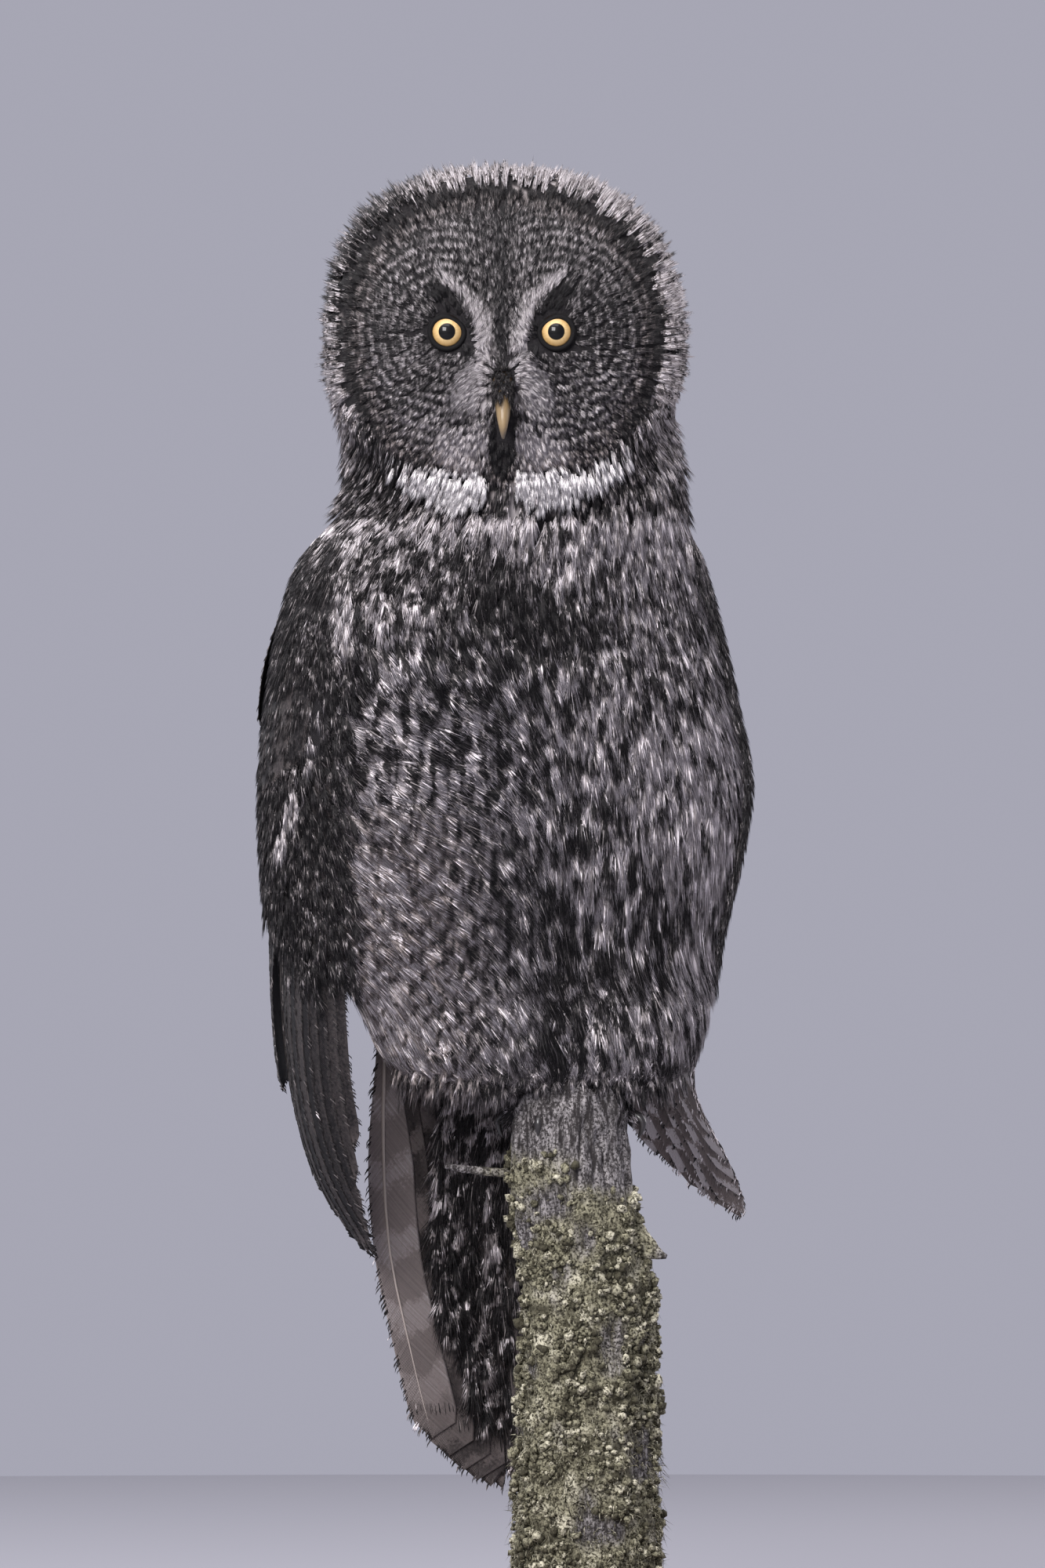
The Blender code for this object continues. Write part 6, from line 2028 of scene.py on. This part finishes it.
for side in (1, -1):
    label = "right" if side > 0 else "left"
    reach = side * FEET_SPREAD
    ankle = np.array((FEET_X - reach * math.cos(BODY_YAW), FEET_Y - reach * math.sin(BODY_YAW), PERCH_TOP
                      + ANKLE_RISE))
    paths = [(ankle + np.array(((0.0, 0.0, -4.0), (0.0, 3.0, 12.0), (0.0, 9.0, 26.0))), LEG_RADII)]
    claws = []
    for spread, toe in TOES:
        a = BODY_YAW - math.radians(spread * side)
        way = np.array((math.sin(a), -math.cos(a), 0.0))
        paths.append((np.array([ankle + way * toe * s + np.array((0.0, 0.0, drop)) for s,
                                drop in TOE_BEND]), TOE_RADII))
        claws.append((np.array([ankle + way * (toe + r) + np.array((0.0, 0.0, z)) for r, z in CLAW_CURVE]),
                      CLAW_RADII))
    points, polygons, roots, outs = [], [[], []], [], []
    for number, (path, radii) in enumerate(paths):
        grid, share, ring = tube(path, np.asarray(radii) - 1.0, 20, 16)
        walls, caps = tube_faces(16, 20)
        polygons[0].append(walls + 320 * number)
        polygons[1].append(caps + 320 * number)
        points.append(grid.reshape(-1, 3))
        roots.append(grid[1:-1, ::2].reshape(-1, 3) if number else grid[1:-4:2, ::2].reshape(-1, 3))
        outs.append((unit(ring)[1:-1, ::2] if number else unit(ring)[1:-4:2, ::2]).reshape(-1, 3))
    points = np.concatenate(points)
    one = np.ones(len(points))
    attributes = {"feather": np.stack([0.5 * one, 0.5 * one, noise(points, 5.0, 4)], -1),
                  "marking": np.stack([0.25 * one, 0.3 * one, 0.3 * one], -1),
                  "barb": np.stack([0.5 * one, 0.4 * one, 0.5 * one], -1)}
    made = piece(f"foot_{label}", points, [np.concatenate(p) for p in polygons], skin_material, attributes,
                 np.clip(bake_place(*address(points)), 0, 1))
    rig.ride(made, "root")
    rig.slot(made, "body_feathers")
    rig.replaces(made, f"leg_{label}")
    roots, outs = np.concatenate(roots), np.concatenate(outs)
    foot_way = lambda p, n, ankle=ankle: unit(unit((p - ankle) * np.array((1, 1, 0.4)))
                                              + np.array((0, 0, -0.7)) - 0.2 * n)
    coat(f"coat_foot_{label}", np.stack(address(roots), -1), 8.0, 2.4, 9, 1.0, 0.8, foot_paint, 80 + side,
         way=foot_way, surface=lambda p, outs=outs: (p, outs), start=lambda u, v, roots=roots,
         outs=outs: (roots, outs),
         barb_width=0.8)
    for number, (path, radii) in enumerate(claws):
        grid, share, _ = tube(path, radii, 16, 20)
        made = piece(f"talon_{label}_{number + 1}", grid, tube_faces(20, 16), claw_material)
        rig.ride(made, "root")
        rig.slot(made, "claw")
        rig.replaces(made, f"claw_{label}_{number + 1}")

# %% [markdown]
# ## The dead stem
# The perch is a snapped spruce: grey, fibrous wood at the broken top, and below it a crust of lichen, olive
# and cream, that crumbles and turns hairy lower down. A field of numbers on the stem's surface lifts the
# crust, and loose crumbs and hairs stand on it as small closed shapes, so its edge is rough from all sides.

# %% The stem's surface
PERCH_TOP_RADIUS, PERCH_FOOT_RADIUS, SHARD_HEIGHT = 30.5, 36.5, 19.0
BARK_ROWS, BARK_TURNS = 250, 260
STUB_PATH = ((8.0, -6.0, 238.0), (22.0, -10.0, 226.0), (33.0, -12.0, 215.0), (42.0, -13.0, 211.0))
STUB_RADII = (9.0, 8.0, 5.0, 1.4)
TWIG_PATH = ((-28.0, -6.0, 254.0), (-52.0, -12.0, 256.0), (-66.0, -14.0, 257.5), (-74.0, -15.0, 259.0))
TWIG_RADII = (2.6, 2.3, 2.0, 1.4)


def stem_point(turn, z, grow=0.0):
    """A point of the stem's side: an uneven round section that leans left near the top."""
    share = (z - PERCH_FOOT) / (PERCH_TOP - PERCH_FOOT)
    radius = PERCH_FOOT_RADIUS + (PERCH_TOP_RADIUS - PERCH_FOOT_RADIUS) * share + grow
    radius = radius + 0.8 * np.sin(5 * turn + 0.011 * z) + 0.6 * np.sin(9 * turn - 0.023 * z + 1.0)
    radius = radius + 0.7 * np.sin(3 * turn + 0.045 * z)
    high = ramp(z, 180.0, 275.0)
    x, y = 0.5 - 9.5 * high + radius * np.cos(turn), -4.0 * high + radius * np.sin(turn)
    return np.stack(np.broadcast_arrays(x, y, z), -1)


def crust(p):
    """How much lichen stands at a point, from 0 to 1: none on the broken top, thick from there down."""
    edge = 266.0 - 22.0 * ramp(p[..., 0], -30.0, 20.0) + 16.0 * (noise(p, 14.0, 51) - 0.5)
    return ramp(p[..., 2], edge + 6.0, edge - 12.0) * ramp(noise(p, 17.0, 52), 0.12, 0.42)


def bark_height(p, turn):
    """Millimetres that bark and crust stand off the stem: upright fibres, cracks and crumbling lumps."""
    upright = p * np.array((1.0, 1.0, 0.12))
    fibre = 2.2 * (noise(upright, 3.6, 53) - 0.5) + 1.0 * (noise(upright, 1.6, 54) - 0.5)
    fibre = fibre + 2.4 * (noise(p, 7.0, 66) - 0.5)
    crack = -1.6 * bell(noise(upright, 7.5, 55), 0.5, 0.05)
    lump = noise(p, 5.2, 56) * 0.6 + noise(p, 2.3, 57) * 0.4
    on = crust(p)
    return (fibre + crack) * (1 - on) + on * (0.6 + 4.6 * (lump - 0.42)) + 0.8 * (noise(p, 22.0, 58) - 0.5)


turn = np.arange(BARK_TURNS) * 2 * math.pi / BARK_TURNS
ragged_rim = noise(np.stack([25 * np.cos(turn), 25 * np.sin(turn), 0 * turn], -1), 2.4, 59)
shard = SHARD_HEIGHT * ramp(-np.sin(turn), 0.35, 0.8) * (0.86 + 0.14 * np.sin(7 * turn))
rim = PERCH_TOP + shard + 2.0 * np.sin(2 * turn + 0.6) + 3.6 * (ragged_rim - 0.5)
side_share = np.linspace(0, 1, BARK_ROWS)[:, None]
z = PERCH_FOOT + (rim - PERCH_FOOT) * side_share
side = stem_point(turn + 0 * z, z, -1.6 * ramp(z, PERCH_TOP + 2.0, PERCH_TOP + 18.0))
outward = unit(np.stack([np.cos(turn) + 0 * z, np.sin(turn) + 0 * z, 0 * z], -1))
side = side + outward * (bark_height(side, turn) * ramp(side_share, 1.0, 0.985) - 0.4)[..., None]
inner = []
for inset, drop in ((3.4, 0.6), (5.2, 5.0), (7.0, 11.0), (12.0, 15.0), (20.0, 16.0)):
    height = np.maximum(rim - drop, PERCH_TOP - 3.0 + 2.0 * ragged_rim - 0.1 * inset)
    ring = stem_point(turn, height, -inset)
    inner.append(ring)
points = np.concatenate([side.reshape(-1, 3), np.stack(inner).reshape(-1, 3)])
rows = BARK_ROWS + len(inner)
points = np.concatenate([points, [[0.5, 0.0, PERCH_FOOT]], [points[-BARK_TURNS:].mean(0)]])
count = rows * BARK_TURNS
first, last = np.arange(BARK_TURNS), (rows - 1) * BARK_TURNS + np.arange(BARK_TURNS)
polygons = [np.stack([np.full(BARK_TURNS, count), np.roll(first, -1), first], -1),
            np.stack([np.full(BARK_TURNS, count + 1), last, np.roll(last, -1)], -1),
            grid_faces(rows, BARK_TURNS, closed=True)[:, ::-1]]
bark_material, net, shader = finish("bark_and_lichen", 0.9, Specular_IOR_Level=0.2)
place = net.place()
on, tone = net.attribute("crust", "Fac"), net.attribute("tone", "Fac")
fibres = net.cloud(net.stretched(place, (330.0, 330.0, 85.0)), 1.0, 5.0, 0.75)
relief_and_shade = net.cloud(place, 700.0, 4.0, 0.7)
# The colour follows the small-scale noise that also feeds the bump: the wood darkens in its pits and between its
# fibres, and the lichen runs from near black in the hollows through olive to cream on the raised grains. Besides the
# wood's grain and the lichen's own olive and cream, this is painted shade in the hollows and a painted highlight on
# the raised grains.
wood = net.blend(net.step(fibres, 0.4, 0.62), (0.03, 0.026, 0.026), (0.36, 0.335, 0.335))
wood = net.blend(net.step(relief_and_shade, 0.56, 0.40), wood, (0.03, 0.026, 0.026))
lichen = net.blend(net.step(relief_and_shade, 0.38, 0.62), (0.035, 0.03, 0.018), (0.33, 0.31, 0.215))
lichen = net.blend(net.times(net.step(tone, 0.55, 0.85), net.step(relief_and_shade, 0.4, 0.6)), lichen,
                   (0.66, 0.62, 0.48))
lichen = net.blend(net.times(net.step(tone, 0.42, 0.14), 0.85), lichen, (0.045, 0.04, 0.026))
lichen = net.blend(net.step(relief_and_shade, 0.46, 0.34), lichen, (0.018, 0.015, 0.009))
net.tree.links.new(net.blend(on, wood, lichen), shader.inputs["Base Color"])
bumped(net, shader, net.plus(relief_and_shade, fibres), 0.0008)
stem = piece("dead_stem", points, polygons, bark_material,
             {"crust": crust(points), "tone": noise(points, 8.0, 60)})
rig.ride(stem, "root")
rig.slot(stem, "bark")
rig.replaces(stem, "perch")
print("stem", triangles(stem), "triangles")

# %% Stub and twig
for name, path, radii, knots in (("stub", STUB_PATH, STUB_RADII, 40), ("twig", TWIG_PATH, TWIG_RADII, 60)):
    grid, share, ring = tube(path, radii, 40, 70)
    rough = noise(grid, 4.0, 61) + 0.5 * noise(grid, 1.8, 62) - 0.9
    grid = grid + ring * (1.6 if name == "stub" else 0.5) * rough[..., None]
    flat = grid.reshape(-1, 3)
    covered = np.repeat((ramp(share, 1.0, 0.75) if name == "stub" else ramp(share, 0.75, 0.5) * 0.5), 40)
    made = piece(name, flat, tube_faces(70, 40), bark_material,
                 {"crust": covered, "tone": noise(flat, 6.0, 63)})
    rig.ride(made, "root")
    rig.slot(made, "bark")

# %% Crumbs of lichen
GOLDEN = (1 + math.sqrt(5)) / 2
CRUMB = unit(np.array([(-1, GOLDEN, 0), (1, GOLDEN, 0), (-1, -GOLDEN, 0), (1, -GOLDEN, 0), (0, -1, GOLDEN),
                       (0, 1, GOLDEN),
                       (0, -1, -GOLDEN), (0, 1, -GOLDEN), (GOLDEN, 0, -1), (GOLDEN, 0, 1), (-GOLDEN, 0, -1),
                       (-GOLDEN, 0, 1)], float))
CRUMB_FACES = np.array([(0, 11, 5), (0, 5, 1), (0, 1, 7), (0, 7, 10), (0, 10, 11), (1, 5, 9), (5, 11, 4),
                        (11, 10, 2),
                        (10, 7, 6), (7, 1, 8), (3, 9, 4), (3, 4, 2), (3, 2, 6), (3, 6, 8), (3, 8, 9),
                        (4, 9, 5),
                        (2, 4, 11), (6, 2, 10), (8, 6, 7), (9, 8, 1)])
rng = np.random.default_rng(90)
CRUMBS = 5200
turn = rng.uniform(0, 2 * math.pi, CRUMBS * 2)
z = rng.uniform(PERCH_FOOT + 3, 268.0, CRUMBS * 2)
p = stem_point(turn, z)
keep = rng.uniform(0, 1, len(turn)) < crust(p) * ramp(noise(p, 6.5, 64), 0.34, 0.62)
turn, z = turn[keep][:CRUMBS], z[keep][:CRUMBS]
size = rng.uniform(0.6, 2.3, len(turn)) ** 1.1 * (0.7 + 0.7 * noise(stem_point(turn, z), 9.0, 65))
p = stem_point(turn, z)
out = unit(np.stack([np.cos(turn), np.sin(turn), 0 * turn], -1))
p = p + out * (bark_height(p, turn) + size * rng.uniform(0.0, 1.1, len(turn)))[:, None]
blobs = CRUMB[None] * rng.uniform(0.65, 1.3, (len(p), 12, 1)) * size[:, None, None]
blobs = blobs * rng.uniform(0.7, 1.2, (len(p), 1, 3)) + p[:, None]
tone = np.clip(rng.uniform(-0.15, 0.75, len(p)) + 0.9 * (noise(p, 5.0, 67) - 0.35), 0, 1)
crumb_faces = (np.arange(len(p))[:, None, None] * 12 + CRUMB_FACES[None]).reshape(-1, 3)
made = piece("lichen_crumbs", blobs.reshape(-1, 3), [crumb_faces],
             bark_material, {"crust": np.ones(len(p) * 12), "tone": np.repeat(tone, 12)})
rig.ride(made, "root")
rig.slot(made, "bark")
print("crumbs", len(p), triangles(made), "triangles")

# %% Hairs of lichen
HAIRS = 2600
turn = rng.uniform(0, 2 * math.pi, HAIRS)
z = PERCH_FOOT + 2 + (240.0 - PERCH_FOOT) * rng.uniform(0, 1, HAIRS) ** 1.4
p = stem_point(turn, z)
out = unit(np.stack([np.cos(turn), np.sin(turn), 0 * turn], -1))
tangent = np.stack([-np.sin(turn), np.cos(turn), 0 * turn], -1)
p = p + out * bark_height(p, turn)[:, None]
length = rng.uniform(3.0, 8.0, (HAIRS, 1)) * (0.6 + 0.6 * ramp(z, 200.0, 90.0))[:, None]
lean = out * rng.uniform(0.4, 1.0, (HAIRS, 1)) + tangent * rng.normal(0, 0.6, (HAIRS, 1))
lean = lean + np.array((0, 0, 1)) * rng.normal(0, 0.6, (HAIRS, 1))
middle = np.stack([p, p + unit(lean) * length * 0.5, p + unit(lean + np.array((0, 0, -0.7))) * length], 1)
corners = spikes(middle, np.stack([out] * 3, 1), np.tile(rng.uniform(0.35, 0.7, (HAIRS, 1)), 2))
made = piece("lichen_hairs", corners.reshape(-1, 3), spike_faces(HAIRS, 2), bark_material,
             {"crust": np.ones(HAIRS * 7), "tone": np.repeat(rng.uniform(0.2, 0.9, HAIRS), 7)})
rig.ride(made, "root")
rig.slot(made, "bark")
print("hairs", HAIRS, triangles(made), "triangles")

# %% [markdown]
# ## Board and rod
# The photo stops above the foot of the stem, so the stand is the workshop's own: a round board of oiled dark
# oak with a softened edge, and a steel rod that carries the stem.

# %% The stand
BASE_RADIUS, BASE_THICKNESS, BASE_BEVEL, ROD_RADIUS, GAP = 150.0, 14.0, 3.0, 9.0, 0.3
oak_material, net, shader = finish("oiled_oak", 0.45, Coat_Weight=0.12)
place = net.place()
rings = net.cloud(net.stretched(place, (7.0, 120.0, 120.0)), 1.0, 4.0, 0.6)
pores = net.cloud(net.stretched(place, (60.0, 1400.0, 900.0)), 1.0, 2.0, 0.6)
wood = net.blend(net.step(rings, 0.35, 0.65), (0.05, 0.032, 0.022), (0.11, 0.072, 0.047))
wood = net.blend(net.times(net.step(pores, 0.6, 0.72), 0.7), wood, (0.022, 0.014, 0.01))
net.tree.links.new(wood, shader.inputs["Base Color"])
bumped(net, shader, net.less(rings, pores), 0.0003, 0.5)
steel_material, net, shader = finish("brushed_steel", 0.35, Metallic=1.0)
brushed = net.cloud(net.stretched(net.place(), (60.0, 60.0, 2600.0)), 1.0, 2.0)
net.tree.links.new(net.blend(brushed, (0.3, 0.3, 0.31), (0.5, 0.5, 0.51)), shader.inputs["Base Color"])
net.tree.links.new(net.step(brushed, 0.3, 0.7, 0.28, 0.45), shader.inputs["Roughness"])

corner = np.linspace(-math.pi / 2, 0, 6)
low_edge = np.stack([BASE_RADIUS - BASE_BEVEL * (1 - np.cos(corner)), BASE_BEVEL * (1 + np.sin(corner))], -1)
high_edge = np.stack([low_edge[::-1, 0], BASE_THICKNESS - low_edge[::-1, 1]], -1)
board = turned("round_board", [(0, 0), *low_edge, *high_edge, (0, BASE_THICKNESS)], oak_material, (0, 0, 0),
               sides=160)
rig.replaces(board, "stand_base")
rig.slot(board, "stand_board")
low, high = BASE_THICKNESS + GAP, PERCH_FOOT - GAP
rod = turned("steel_rod", [(0, low), (8.5, low), (ROD_RADIUS, low + 0.5), (ROD_RADIUS, high - 0.5),
                           (8.5, high), (0, high)],
             steel_material, (0, 0, 0))
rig.replaces(rod, "stand_rod")
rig.slot(rod, "stand_steel")
print("stand ready")

# %% [markdown]
# ## Done
# The last step measures the dressed bird's box and writes it, with the box of its solids, to extents.json.

# %% Measure and finish
visual_box = [list(corner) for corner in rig.bounds()]
with open("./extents.json", "w") as out:
    json.dump({"cad": cad_box, "visual": visual_box}, out)
print("visual box", [[round(v, 4) for v in corner] for corner in visual_box])
total = sum(triangles(o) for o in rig.pieces() if o.type == "MESH")
print("triangles in all", total)
